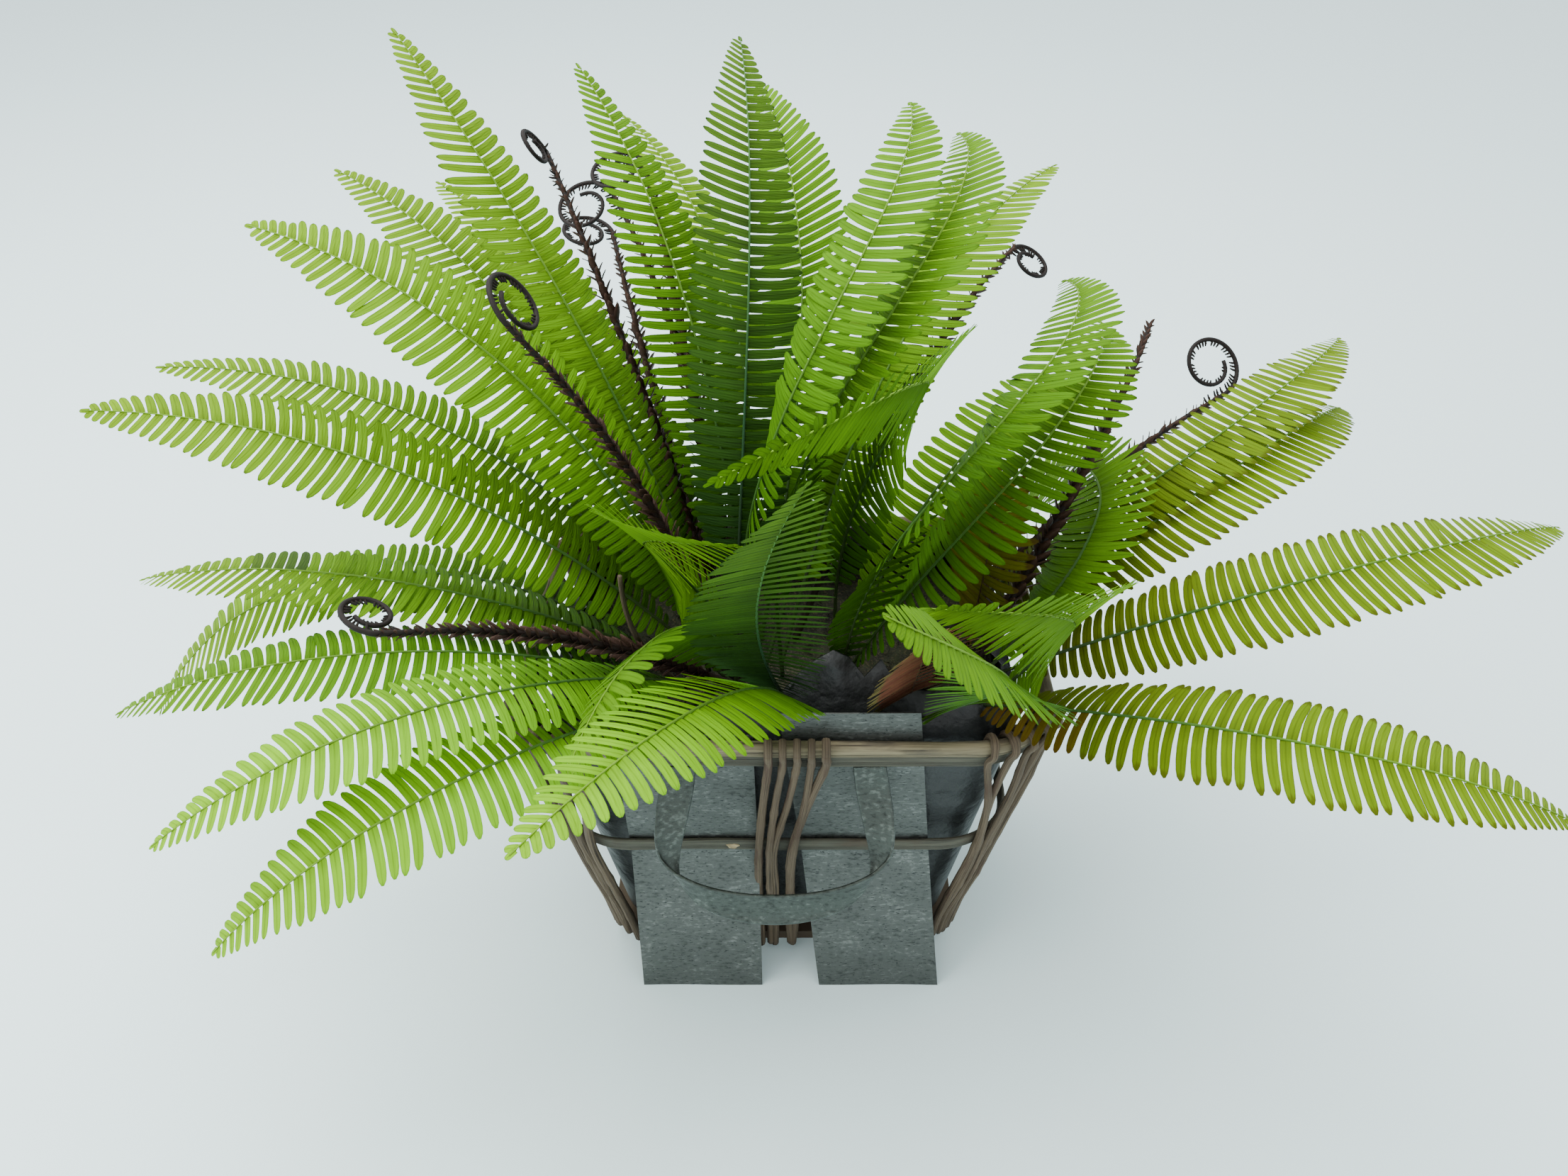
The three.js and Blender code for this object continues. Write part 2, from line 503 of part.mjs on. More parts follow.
// Every frond: where its stalk is cut (x, y on the foam), the compass heading it leaves in and how
// far it turns on the way, how steeply it rises and how much it droops by its tip, its length, and
// the roll and twist of its blade. Lengths in millimetres, angles in degrees.
const FRONDS = [
  { name: 'frond_left_tall', x: -40, y: -3, heading: 150, turn: -16,
    rise: 70, droop: 37, length: 477, roll: -13, twist: 4 },
  { name: 'frond_left_high', x: -43, y: -17, heading: 132, turn: 18,
    rise: 58, droop: 46, length: 461, roll: -2, twist: 13 },
  { name: 'frond_left_high_rear', x: -45, y: 9, heading: 119, turn: 20,
    rise: 53, droop: 44, length: 439, roll: -8, twist: 6 },
  { name: 'frond_left_bright', x: -53, y: -17, heading: 174, turn: -12,
    rise: 77, droop: 72, length: 439, roll: 21, twist: 8 },
  { name: 'frond_left_mid_rear', x: -48, y: -1, heading: 151, turn: 39,
    rise: 47, droop: 44, length: 434, roll: -3, twist: 9 },
  { name: 'frond_left_mid', x: -35, y: -31, heading: 178, turn: 6,
    rise: 51, droop: 49, length: 451, roll: 6, twist: 18 },
  { name: 'frond_left_low_upper', x: -42, y: -27, heading: 190, turn: -20,
    rise: 36, droop: 56, length: 411, roll: -10, twist: 3 },
  { name: 'frond_left_low_rear', x: -60, y: -29, heading: 162, turn: 35,
    rise: 34, droop: 97, length: 457, roll: -7, twist: 16 },
  { name: 'frond_left_low', x: -49, y: -37, heading: 203, turn: -20,
    rise: 35, droop: 64, length: 398, roll: -6, twist: 2 },
  { name: 'frond_left_bottom', x: -39, y: -38, heading: 226, turn: -24,
    rise: 42, droop: 75, length: 397, roll: -2, twist: 3 },
  { name: 'frond_front_left_low', x: -37, y: -49, heading: 238, turn: -38,
    rise: 38, droop: 84, length: 390, roll: 2, twist: 11 },
  { name: 'frond_front_left_trailing', x: 12, y: -73, heading: 259, turn: -28,
    rise: 60, droop: 70, length: 361, roll: 6, twist: -5 },
  { name: 'frond_front_left_folded', x: -30, y: -46, heading: 240, turn: 3,
    rise: 81, droop: 131, length: 263, roll: -41, twist: -1 },
  { name: 'frond_back_left_tall', x: -25, y: -12, heading: 100, turn: 29,
    rise: 67, droop: 36, length: 445, roll: -17, twist: -1 },
  { name: 'frond_back_tall', x: -26, y: 6, heading: 80, turn: 50,
    rise: 53, droop: 39, length: 467, roll: -30, twist: 14 },
  { name: 'frond_middle_tall', x: -35, y: -24, heading: 76, turn: 21,
    rise: 79, droop: 62, length: 471, roll: -13, twist: -13, finish: DARK_LEAF },
  { name: 'frond_back_middle', x: -19, y: -3, heading: 62, turn: 50,
    rise: 64, droop: 48, length: 458, roll: 25, twist: 15 },
  { name: 'frond_back_right_tall', x: -19, y: -40, heading: -32, turn: 125,
    rise: 99, droop: 98, length: 463, roll: 12 },
  { name: 'frond_back_right_rear', x: -14, y: -16, heading: 65, turn: 1,
    rise: 47, droop: 39, length: 459, roll: 4, twist: 16 },
  { name: 'frond_right_tall', x: -1, y: -22, heading: -49, turn: 149,
    rise: 97, droop: 107, length: 468, roll: 24 },
  { name: 'frond_front_right_long', x: 28, y: -57, heading: -27, turn: 114,
    rise: 71, droop: 83, length: 388, roll: 8, twist: -7 },
  { name: 'frond_right_rear', x: -2, y: -11, heading: 59, turn: -10,
    rise: 62, droop: 62, length: 461, roll: 14, twist: -3 },
  { name: 'frond_right_arched', x: 37, y: -67, heading: -60, turn: 160,
    rise: 90, droop: 112, length: 424, roll: 34, twist: -6 },
  { name: 'frond_right_short', x: 34, y: -47, heading: 39, turn: 5,
    rise: 73, droop: 115, length: 374, roll: 18, twist: -22 },
  { name: 'frond_centre_curled', x: -14, y: -25, heading: 182, turn: 154,
    rise: 67, droop: 53, length: 364, roll: 45 },
  { name: 'frond_centre_folded', x: 37, y: -6, heading: 15, turn: -180,
    rise: 94, droop: 118, length: 494, roll: -58, twist: -7 },
  { name: 'frond_centre_low', x: 11, y: -64, heading: -119, turn: 57,
    rise: 58, droop: 2, length: 379, roll: 2, twist: -7, finish: DARK_LEAF },
  { name: 'frond_right_rising', x: 92, y: 15, heading: -2, turn: 60,
    rise: 42, droop: 54, length: 452, roll: 9, twist: -6 },
  { name: 'frond_right_upper', x: 105, y: -22, heading: 4, turn: 53,
    rise: 43, droop: 71, length: 445, roll: 5, twist: -9 },
  { name: 'frond_right_level', x: 114, y: -37, heading: -26, turn: 61,
    rise: 41, droop: 64, length: 462, roll: -15, twist: 18 },
  { name: 'frond_right_trailing', x: 98, y: -52, heading: -55, turn: 59,
    rise: 38, droop: 71, length: 424, roll: -2, twist: -6 },
  { name: 'frond_front_right_curled', x: 128, y: -64, heading: -41, turn: -120,
    rise: 64, droop: 45, length: 371, roll: -52, twist: -3 },
  { name: 'frond_front_right_bent', x: 71, y: -78, heading: -46, turn: -102,
    rise: 50, droop: 8, length: 417, roll: -12, twist: 46 },
  { name: 'frond_front_rust', x: 80, y: -65, heading: -87, turn: -5,
    rise: 64, droop: 16, length: 195, roll: -20, twist: -10, finish: TURNED_LEAF },
  { name: 'frond_right_olive', x: 124, y: -15, heading: 43, turn: 34,
    rise: 74, droop: -9, length: 156, roll: -117, twist: -77, finish: TURNED_LEAF },
  { name: 'frond_right_curled', x: 113, y: -57, heading: -6, turn: 172,
    rise: 61, droop: 160, length: 402, roll: 17, twist: 32 },
];
FRONDS.forEach((shape) => addMesh(shape.name, frond(shape), shape.finish ?? LEAF));

// The crosiers' stems are given in the same way. Each ends in a coil that starts with the radius
// given, on the side of the stem given (1 or -1), tipped about the stem by an angle.
const CROSIERS = [
  { name: 'crosier_left_edgewise', x: -34, y: -4, heading: 127, turn: -11, rise: 60, droop: 31, length: 387,
    coil: { radius: 16, side: 1, tip: 70 } },
  { name: 'crosier_left_middle', x: -30, y: 10, heading: 102, turn: 17, rise: 50, droop: 27, length: 376,
    coil: { radius: 24, side: 1, tip: 0 } },
  { name: 'crosier_left_tall', x: -29, y: -25, heading: 104, turn: 0, rise: 50, droop: 31, length: 419,
    coil: { radius: 23, side: 1, tip: 0 } },
  { name: 'crosier_left_high', x: -39, y: -22, heading: 164, turn: 25, rise: 75, droop: 22, length: 291,
    coil: { radius: 23, side: -1, tip: 58 } },
  { name: 'crosier_left_level', x: -28, y: -36, heading: 207, turn: 11, rise: 43, droop: 21, length: 273,
    coil: { radius: 17, side: -1, tip: 50 } },
  { name: 'crosier_right_looped', x: 97, y: -13, heading: 41, turn: -11, rise: 33, droop: 22, length: 315,
    coil: { radius: 24, side: 1, tip: 0 } },
];
CROSIERS.forEach((shape) => addMesh(shape.name, shoot(shape), SHOOT));

export default object;
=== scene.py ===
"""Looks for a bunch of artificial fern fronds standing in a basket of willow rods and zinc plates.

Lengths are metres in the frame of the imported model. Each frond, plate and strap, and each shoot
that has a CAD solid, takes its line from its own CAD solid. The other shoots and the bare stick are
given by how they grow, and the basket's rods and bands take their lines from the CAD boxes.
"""

import logging
import math
from dataclasses import dataclass
from enum import Enum
from functools import partial
from typing import Callable, Optional, Sequence, Union

import bpy
import numpy as np
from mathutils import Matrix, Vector


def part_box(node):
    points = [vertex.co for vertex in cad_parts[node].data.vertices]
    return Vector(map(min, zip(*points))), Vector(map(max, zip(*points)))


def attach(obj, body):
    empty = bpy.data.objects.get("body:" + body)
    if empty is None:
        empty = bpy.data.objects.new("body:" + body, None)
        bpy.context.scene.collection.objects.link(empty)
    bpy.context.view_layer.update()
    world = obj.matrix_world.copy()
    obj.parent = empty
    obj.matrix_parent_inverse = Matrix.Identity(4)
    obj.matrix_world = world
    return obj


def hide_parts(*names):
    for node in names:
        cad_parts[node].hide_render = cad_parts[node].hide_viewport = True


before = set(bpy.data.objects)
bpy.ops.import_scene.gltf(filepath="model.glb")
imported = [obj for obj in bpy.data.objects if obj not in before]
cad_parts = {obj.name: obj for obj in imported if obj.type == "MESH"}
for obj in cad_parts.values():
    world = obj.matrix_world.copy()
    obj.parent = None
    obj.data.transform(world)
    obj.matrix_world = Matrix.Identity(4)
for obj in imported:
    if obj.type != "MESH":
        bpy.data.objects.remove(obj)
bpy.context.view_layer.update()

LOG = logging.getLogger("fern_basket")

Triple = tuple[float, float, float]
Colour = Triple
Array = np.ndarray
Values = Union[Array, Sequence[float]]
Socket = bpy.types.NodeSocket
Material = bpy.types.Material
Piece = bpy.types.Object
Paint = Union[Colour, Socket]
MM = 0.001


# ---------------------------------------------------------------- shader maths


class Signal:
    """A number that changes over a surface. Python's operators add its Math nodes."""

    def __init__(self, shader: "Shader", socket: Socket) -> None:
        """Wraps one output socket of a shader's node."""
        self.shader = shader
        self.socket = socket

    def __add__(self, other: "Number") -> "Signal":
        """The sum."""
        return self.shader.maths("ADD", self, other)

    def __sub__(self, other: "Number") -> "Signal":
        """The difference."""
        return self.shader.maths("SUBTRACT", self, other)

    def __rsub__(self, other: "Number") -> "Signal":
        """The difference from a plain number."""
        return self.shader.maths("SUBTRACT", other, self)

    def __mul__(self, other: "Number") -> "Signal":
        """The product."""
        return self.shader.maths("MULTIPLY", self, other)

    def __abs__(self) -> "Signal":
        """The size without its sign."""
        return self.shader.maths("ABSOLUTE", self)

    __radd__ = __add__

    def stretched(self, low: float, high: float) -> "Signal":
        """Spreads low..high over 0..1 and cuts off the rest.

        Args:
            low: The value that becomes 0.
            high: The value that becomes 1.

        Returns:
            The spread value.
        """
        node = self.shader.node(
            "ShaderNodeMapRange",
            {"clamp": True},
            {"Value": self, "From Min": low, "From Max": high},
        )
        return Signal(self.shader, node.outputs["Result"])


Number = Union[Signal, float]


class Shader:
    """One procedural material and the nodes that it is made of."""

    def __init__(self, name: str) -> None:
        """Starts an empty material.

        Args:
            name: Its name.
        """
        self.material = bpy.data.materials.new(name)
        self.material.use_nodes = True
        self.tree = self.material.node_tree
        self.tree.nodes.clear()

    def node(self, kind: str, settings: dict, sockets: dict) -> bpy.types.Node:
        """Makes one node.

        Args:
            kind: The node's type.
            settings: Its own settings, set first. "stops" is a ramp's list of (place, colour).
            sockets: A value, Signal or output socket for each input, by name or number.

        Returns:
            The node.
        """
        made = self.tree.nodes.new(kind)
        for key, value in settings.items():
            if key == "stops":
                ramp = made.color_ramp
                while len(ramp.elements) < len(value):
                    ramp.elements.new(1.0)
                for element, (place, colour) in zip(ramp.elements, value):
                    element.position = place
                    element.color = (*colour, 1.0)
            else:
                setattr(made, key, value)
        for key, value in sockets.items():
            socket = made.inputs[key]
            if isinstance(value, Signal):
                self.tree.links.new(value.socket, socket)
            elif isinstance(value, Socket):
                self.tree.links.new(value, socket)
            else:
                socket.default_value = value
        return made

    def maths(self, operation: str, *values: Number) -> Signal:
        """Adds one Math node on the values given, in order."""
        node = self.node("ShaderNodeMath", {"operation": operation}, dict(enumerate(values)))
        return Signal(self, node.outputs[0])

    def surface_value(self, name: str) -> tuple[Signal, Signal, Signal]:
        """The three numbers of a vector that the mesh carries under that name."""
        carried = self.node("ShaderNodeAttribute", {"attribute_name": name}, {})
        return self.parts(carried.outputs["Vector"])

    def parts(self, vector: Socket) -> tuple[Signal, Signal, Signal]:
        """A vector's three numbers."""
        split = self.node("ShaderNodeSeparateXYZ", {}, {"Vector": vector})
        return tuple(Signal(self, split.outputs[axis]) for axis in "XYZ")

    def place(self) -> tuple[Signal, Signal, Signal]:
        """Where the surface is, in metres, as three numbers."""
        return self.parts(self.node("ShaderNodeTexCoord", {}, {}).outputs["Object"])

    def noise(self, x: Number, y: Number, z: Number, detail: float = 3.0) -> Signal:
        """Soft noise of about one swell per unit.

        Args:
            x: First coordinate.
            y: Second coordinate.
            z: Third coordinate.
            detail: How many finer layers it has.

        Returns:
            A value from 0 to 1 that is mostly near a half.
        """
        vector = self.node("ShaderNodeCombineXYZ", {}, {"X": x, "Y": y, "Z": z})
        node = self.node(
            "ShaderNodeTexNoise",
            {},
            {"Vector": vector.outputs[0], "Scale": 1.0, "Detail": detail},
        )
        return Signal(self, node.outputs["Fac"])

    def ramp(self, value: Signal, stops: Sequence[tuple[float, Colour]]) -> Socket:
        """A colour ramp read at a value."""
        return self.node("ShaderNodeValToRGB", {"stops": stops}, {"Fac": value}).outputs["Color"]

    def mix(
        self,
        share: Number,
        first: Paint,
        second: Paint,
        blend: str = "MIX",
    ) -> Socket:
        """Mixes two colours.

        Args:
            share: How much of the second colour.
            first: A colour or a colour socket.
            second: A colour or a colour socket.
            blend: The Mix node's blend type.

        Returns:
            The mixed colour's socket.
        """
        pair = [(*c, 1.0) if isinstance(c, tuple) else c for c in (first, second)]
        node = self.node(
            "ShaderNodeMix",
            {"data_type": "RGBA", "blend_type": blend},
            {0: share, 6: pair[0], 7: pair[1]},
        )
        return node.outputs[2]

    def finish(
        self,
        colour: Paint,
        roughness: Number,
        height: Signal,
        depth: float,
        **fixed: float,
    ) -> Material:
        """Closes the material with one Principled surface and its bump.

        Args:
            colour: The base colour.
            roughness: The roughness, fixed or varying.
            height: What stands proud, from 0 to 1.
            depth: How far 1 stands above 0, in metres.
            fixed: Other Principled inputs that stay the same all over, by name with underscores.

        Returns:
            The material.
        """
        bump = self.node(
            "ShaderNodeBump", {}, {"Strength": 1.0, "Distance": depth, "Height": height}
        )
        base = (*colour, 1.0) if isinstance(colour, tuple) else colour
        inputs = {name.replace("_", " "): value for name, value in fixed.items()}
        surface = self.node(
            "ShaderNodeBsdfPrincipled",
            {},
            {"Base Color": base, "Roughness": roughness, "Normal": bump.outputs[0], **inputs},
        )
        self.node("ShaderNodeOutputMaterial", {}, {"Surface": surface.outputs[0]})
        return self.material


# ---------------------------------------------------------------- finishes


@dataclass(frozen=True)
class LeafFinish:
    """Printed cloth leaflets, darker by the stalk and paler towards the frond's tip. The dark heart
    by the stalk is partly painted shade, and each leaflet has painted shade along its midrib crease
    and at its foot by the rib.

    The mesh carries "lay" (share along the frond, share along the leaflet, -1..1 across it) and
    "dye" (the leaflet's own tone, how much it is stained, its seed).
    """

    name: str
    heart: Colour
    middle: Colour
    tip: Colour
    edge: Colour
    edge_start: float = 0.93
    stain: Colour = (0.022, 0.042, 0.016)
    slot: str = "leaf"

    def make(self) -> Material:
        """Builds the material.

        Returns:
            The material.
        """
        shader = Shader(self.name)
        along, reach, lane = shader.surface_value("lay")
        tone, stained, seed = shader.surface_value("dye")
        drift = shader.noise(along * 9.0 + seed * 3.0, reach * 1.5, seed * 5.0, 2.0)
        streaks = shader.noise(reach * 2.5 + seed * 40.0, lane * 4.5, seed * 70.0, 3.0)
        # The heart colour by the stalk is partly the cloth's own darker green and partly painted
        # shade from the middle of the bunch.
        graded = shader.ramp(
            along + (drift - 0.5) * 0.22,
            [(0.02, self.heart), (0.22, self.heart), (0.55, self.middle), (0.95, self.tip)],
        )
        # Painted shade: each leaflet is darkened along its midrib crease and over its inner third
        # by the rib. The light value also carries each leaflet's real streaks and tone.
        crease = 1.0 - abs(lane).stretched(0.03, 0.22)
        painted_foot_shade = 1.0 - reach.stretched(0.0, 0.35)
        light = 0.94 + (streaks - 0.5) * 0.42 + tone * 0.09 - crease * 0.22 - painted_foot_shade * 0.26
        lit = shader.mix(1.0, graded, self._grey(shader, light), "MULTIPLY")
        worn = (reach + (streaks - 0.5) * 0.25).stretched(self.edge_start, self.edge_start + 0.06)
        rim = abs(lane).stretched(0.72, 1.0) * 0.6
        edged = shader.mix(shader.maths("MAXIMUM", worn * 0.8, rim), lit, self.edge)
        colour = shader.mix(stained * (0.6 + streaks * 0.5), edged, self.stain)
        veins = shader.maths("SINE", lane * 11.0 + reach * 16.0) * 0.5 + 0.5
        height = streaks * 0.6 + veins * 0.25 - crease * 0.5
        return shader.finish(
            colour, 0.58 + streaks * 0.22, height, 0.0003, Specular_IOR_Level=0.07
        )

    def _grey(self, shader: Shader, level: Signal) -> Socket:
        """A grey of that level as a colour, scaled down and up again since a ramp ends at 1."""
        return shader.ramp(level * 0.6, [(0.0, (0.0, 0.0, 0.0)), (1.0, (1.667, 1.667, 1.667))])


@dataclass(frozen=True)
class StemFinish:
    """Moulded stalk: "lay" carries the share along it, the share around it and its seed."""

    name: str
    foot: Colour
    middle: Colour
    tip: Colour

    def make(self) -> Material:
        """Builds the material.

        Returns:
            The material.
        """
        shader = Shader(self.name)
        along, around, seed = shader.surface_value("lay")
        streaks = shader.noise(along * 60.0 + seed * 9.0, around * 14.0, seed * 33.0, 3.0)
        shaded = shader.ramp(
            along + (streaks - 0.5) * 0.2,
            [(0.0, self.foot), (0.16, self.foot), (0.4, self.middle), (0.95, self.tip)],
        )
        colour = shader.mix(streaks.stretched(0.62, 0.75) * 0.5, shaded, self.foot)
        return shader.finish(
            colour, 0.50 + streaks * 0.25, streaks, 0.0003, Specular_IOR_Level=0.22
        )


@dataclass(frozen=True)
class WillowFinish:
    """Dried willow: "lay" carries metres along the rod, the share around it and its seed."""

    name: str
    pale: Colour
    dark: Colour
    bark: Colour
    cover: float = 0.56

    def make(self) -> Material:
        """Builds the material.

        Returns:
            The material.
        """
        shader = Shader(self.name)
        along, around, seed = shader.surface_value("lay")
        grain = shader.noise(along * 22.0 + seed * 9.0, around * 16.0, seed * 21.0, 5.0)
        fine = shader.noise(along * 120.0, around * 60.0, seed * 11.0, 3.0)
        patches = shader.noise(along * 30.0 + seed * 5.0, around * 2.0, seed * 47.0, 3.0)
        wood = shader.mix(grain.stretched(0.36, 0.62), self.dark, self.pale)
        barked = shader.mix(patches.stretched(self.cover, self.cover + 0.12) * 0.8, wood, self.bark)
        cracks = grain.stretched(0.30, 0.36)
        colour = shader.mix((1.0 - cracks) * 0.7, barked, (0.022, 0.016, 0.011))
        height = grain * 0.6 + fine * 0.25 + cracks * 0.5
        return shader.finish(colour, 0.62 + fine * 0.3, height, 0.0009, Specular_IOR_Level=0.3)


@dataclass(frozen=True)
class ZincFinish:
    """Weathered galvanised sheet: mottled, with level rolling marks, dark speckles and painted
    shade near the floor.
    """

    name: str
    dark: Colour
    middle: Colour
    pale: Colour
    marks: float = 1.0
    gloss: float = 0.36

    def make(self) -> Material:
        """Builds the material.

        Returns:
            The material.
        """
        shader = Shader(self.name)
        x, y, z = shader.place()
        clouds = shader.noise(x * 34.0, y * 34.0, z * 38.0, 3.0)
        mottle = shader.noise(x * 250.0, y * 250.0, z * 420.0, 5.0)
        rolled = shader.noise(x * 150.0, y * 150.0, z * 900.0, 3.0)
        specks = shader.noise(x * 340.0 + 7.0, y * 340.0, z * 900.0, 2.0)
        level = clouds * 0.3 + mottle * (0.7 - 0.25 * self.marks) + rolled * 0.25 * self.marks
        spread = shader.ramp(
            level.stretched(0.36, 0.64),
            [(0.0, self.dark), (0.4, self.middle), (0.62, self.middle), (1.0, self.pale)],
        )
        speckled = shader.mix(
            specks.stretched(0.63, 0.68) * 0.75 * self.marks, spread, (0.012, 0.016, 0.018)
        )
        # Painted shade: the zinc is darkened within 5 cm of the floor, where the sheet meets the
        # ground.
        low = (1.0 - z.stretched(0.0, 0.05)) * 0.35
        colour = shader.mix(low, speckled, self.dark)
        dull = self.gloss + mottle * 0.28 + specks.stretched(0.6, 0.7) * 0.2
        height = mottle * 0.6 + rolled * 0.3 + clouds * 0.6
        return shader.finish(colour, dull, height, 0.0006, Metallic=0.62)


@dataclass(frozen=True)
class FilmFinish:
    """Thin black film, with a painted sheen of lighter grey along its creases."""

    name: str
    colour: Colour
    scale: float
    depth: float
    gloss: float

    def make(self) -> Material:
        """Builds the material.

        Returns:
            The material.
        """
        shader = Shader(self.name)
        x, y, z = (part * self.scale for part in shader.place())
        creases = shader.noise(x, y, z, 5.0)
        # Painted sheen: the creases are painted a lighter grey.
        painted_sheen_grey = tuple(2.4 * part + 0.004 for part in self.colour)
        colour = shader.mix(creases.stretched(0.45, 0.75), self.colour, painted_sheen_grey)
        return shader.finish(colour, self.gloss + creases * 0.25, creases, self.depth)


@dataclass(frozen=True)
class MossFinish:
    """Dry moss over dark foam."""

    name: str
    dark: Colour
    dry: Colour
    green: Colour

    def make(self) -> Material:
        """Builds the material.

        Returns:
            The material.
        """
        shader = Shader(self.name)
        x, y, z = shader.place()
        lumps = shader.noise(x * 70.0, y * 70.0, z * 70.0, 5.0)
        threads = shader.noise(x * 520.0, y * 520.0, z * 520.0, 3.0)
        mossy = shader.mix(lumps.stretched(0.4, 0.62), self.dark, self.green)
        colour = shader.mix(threads.stretched(0.52, 0.7) * 0.8, mossy, self.dry)
        return shader.finish(colour, 0.9, threads * 0.5 + lumps * 0.5, 0.003)


@dataclass(frozen=True)
class PaperFinish:
    """The plain pale ground under the basket."""

    name: str
    colour: Colour

    def make(self) -> Material:
        """Builds the material.

        Returns:
            The material.
        """
        shader = Shader(self.name)
        x, y, _ = shader.place()
        fibres = shader.noise(x * 6.0, y * 6.0, 0.0, 2.0)
        return shader.finish(self.colour, 0.95, fibres, 0.0005, Specular_IOR_Level=0.1)


LIVELY = LeafFinish(
    "leaf_lively", (0.040, 0.118, 0.001), (0.090, 0.218, 0.001), (0.141, 0.271, 0.002),
    (0.040, 0.089, 0.001),
)
BRIGHT = LeafFinish(
    "leaf_bright", (0.046, 0.142, 0.001), (0.100, 0.251, 0.001), (0.151, 0.297, 0.002),
    (0.047, 0.112, 0.001),
)
LIME = LeafFinish(
    "leaf_lime", (0.036, 0.123, 0.001), (0.130, 0.333, 0.001), (0.169, 0.378, 0.001),
    (0.083, 0.229, 0.001),
)
GRASS = LeafFinish(
    "leaf_grass", (0.026, 0.089, 0.001), (0.058, 0.165, 0.001), (0.095, 0.227, 0.001),
    (0.029, 0.083, 0.001),
)
SHEET = LeafFinish(
    "leaf_sheet", (0.054, 0.149, 0.001), (0.087, 0.213, 0.001), (0.120, 0.252, 0.001),
    (0.085, 0.201, 0.002),
)
DEEP = LeafFinish(
    "leaf_deep", (0.011, 0.039, 0.005), (0.027, 0.076, 0.005), (0.071, 0.151, 0.007),
    (0.011, 0.036, 0.004), slot="dark_leaf",
)
SUNNY = LeafFinish(
    "leaf_sunny", (0.065, 0.088, 0.001), (0.104, 0.184, 0.001), (0.128, 0.222, 0.002),
    (0.054, 0.066, 0.002), edge_start=0.86, stain=(0.087, 0.031, 0.002),
)
OLIVE = LeafFinish(
    "leaf_olive", (0.120, 0.110, 0.008), (0.190, 0.195, 0.012), (0.240, 0.210, 0.020),
    (0.110, 0.055, 0.015), edge_start=0.8, stain=(0.120, 0.045, 0.014), slot="turned_leaf",
)
RUST = LeafFinish(
    "leaf_rust", (0.075, 0.026, 0.014), (0.165, 0.052, 0.030), (0.190, 0.080, 0.040),
    (0.120, 0.110, 0.030), edge_start=0.74, stain=(0.080, 0.090, 0.020), slot="turned_leaf",
)
GREEN_STEM = StemFinish(
    "stem_green", (0.020, 0.036, 0.008), (0.035, 0.105, 0.012), (0.170, 0.330, 0.016)
)
DEEP_STEM = StemFinish(
    "stem_deep", (0.012, 0.020, 0.008), (0.012, 0.055, 0.018), (0.070, 0.180, 0.030)
)
BROWN_STEM = StemFinish(
    "stem_brown", (0.030, 0.014, 0.008), (0.050, 0.022, 0.010), (0.120, 0.110, 0.020)
)
SHOOT_STEM = StemFinish(
    "shoot_stem", (0.016, 0.008, 0.005), (0.010, 0.006, 0.004), (0.007, 0.004, 0.003)
)
SHOOT_SCALE = StemFinish(
    "shoot_scale", (0.014, 0.008, 0.006), (0.034, 0.016, 0.010), (0.052, 0.024, 0.015)
)
WILLOW = WillowFinish(
    "willow", (0.125, 0.092, 0.058), (0.062, 0.044, 0.028), (0.060, 0.034, 0.022)
)
RIM_WILLOW = WillowFinish(
    "rim_willow", (0.215, 0.180, 0.108), (0.120, 0.098, 0.060), (0.075, 0.064, 0.046), 0.54
)
BAND_WILLOW = WillowFinish(
    "band_willow", (0.082, 0.078, 0.056), (0.042, 0.040, 0.030), (0.062, 0.048, 0.032)
)
KNOT = WillowFinish(
    "willow_knot", (0.420, 0.330, 0.190), (0.250, 0.190, 0.100), (0.200, 0.150, 0.080)
)
BOARD = WillowFinish(
    "base_wood", (0.110, 0.080, 0.050), (0.045, 0.034, 0.024), (0.060, 0.046, 0.030)
)
ZINC = ZincFinish("zinc", (0.034, 0.038, 0.034), (0.086, 0.093, 0.086), (0.180, 0.192, 0.180))
# The strap's zinc is darker than the plates': partly its own tone and partly painted shade of its
# inner face.
STRAP = ZincFinish(
    "strap_zinc", (0.022, 0.027, 0.023), (0.050, 0.060, 0.052), (0.110, 0.128, 0.114), 0.25, 0.28
)
FILM = FilmFinish("liner_film", (0.006, 0.007, 0.007), 34.0, 0.006, 0.36)
MOSS = MossFinish("moss", (0.012, 0.011, 0.006), (0.085, 0.066, 0.032), (0.026, 0.032, 0.010))
GROUND = PaperFinish("ground", (0.735, 0.895, 0.912))

Finish = Union[
    LeafFinish, StemFinish, WillowFinish, ZincFinish, FilmFinish, MossFinish, PaperFinish
]


class Palette:
    """Makes each finish's material once and hands it out again."""

    def __init__(self) -> None:
        """Starts with nothing made."""
        self._made: dict[str, Material] = {}

    def __call__(self, finish: Finish) -> Material:
        """Gives a finish's material and makes it the first time.

        Args:
            finish: The finish.

        Returns:
            Its material.
        """
        if finish.name not in self._made:
            self._made[finish.name] = finish.make()
        return self._made[finish.name]


PALETTE = Palette()


# ---------------------------------------------------------------- vectors, curves and skins


def unit(vectors: Array) -> Array:
    """Vectors made one long, over the last axis."""
    return vectors / np.maximum(np.linalg.norm(vectors, axis=-1, keepdims=True), 1e-12)


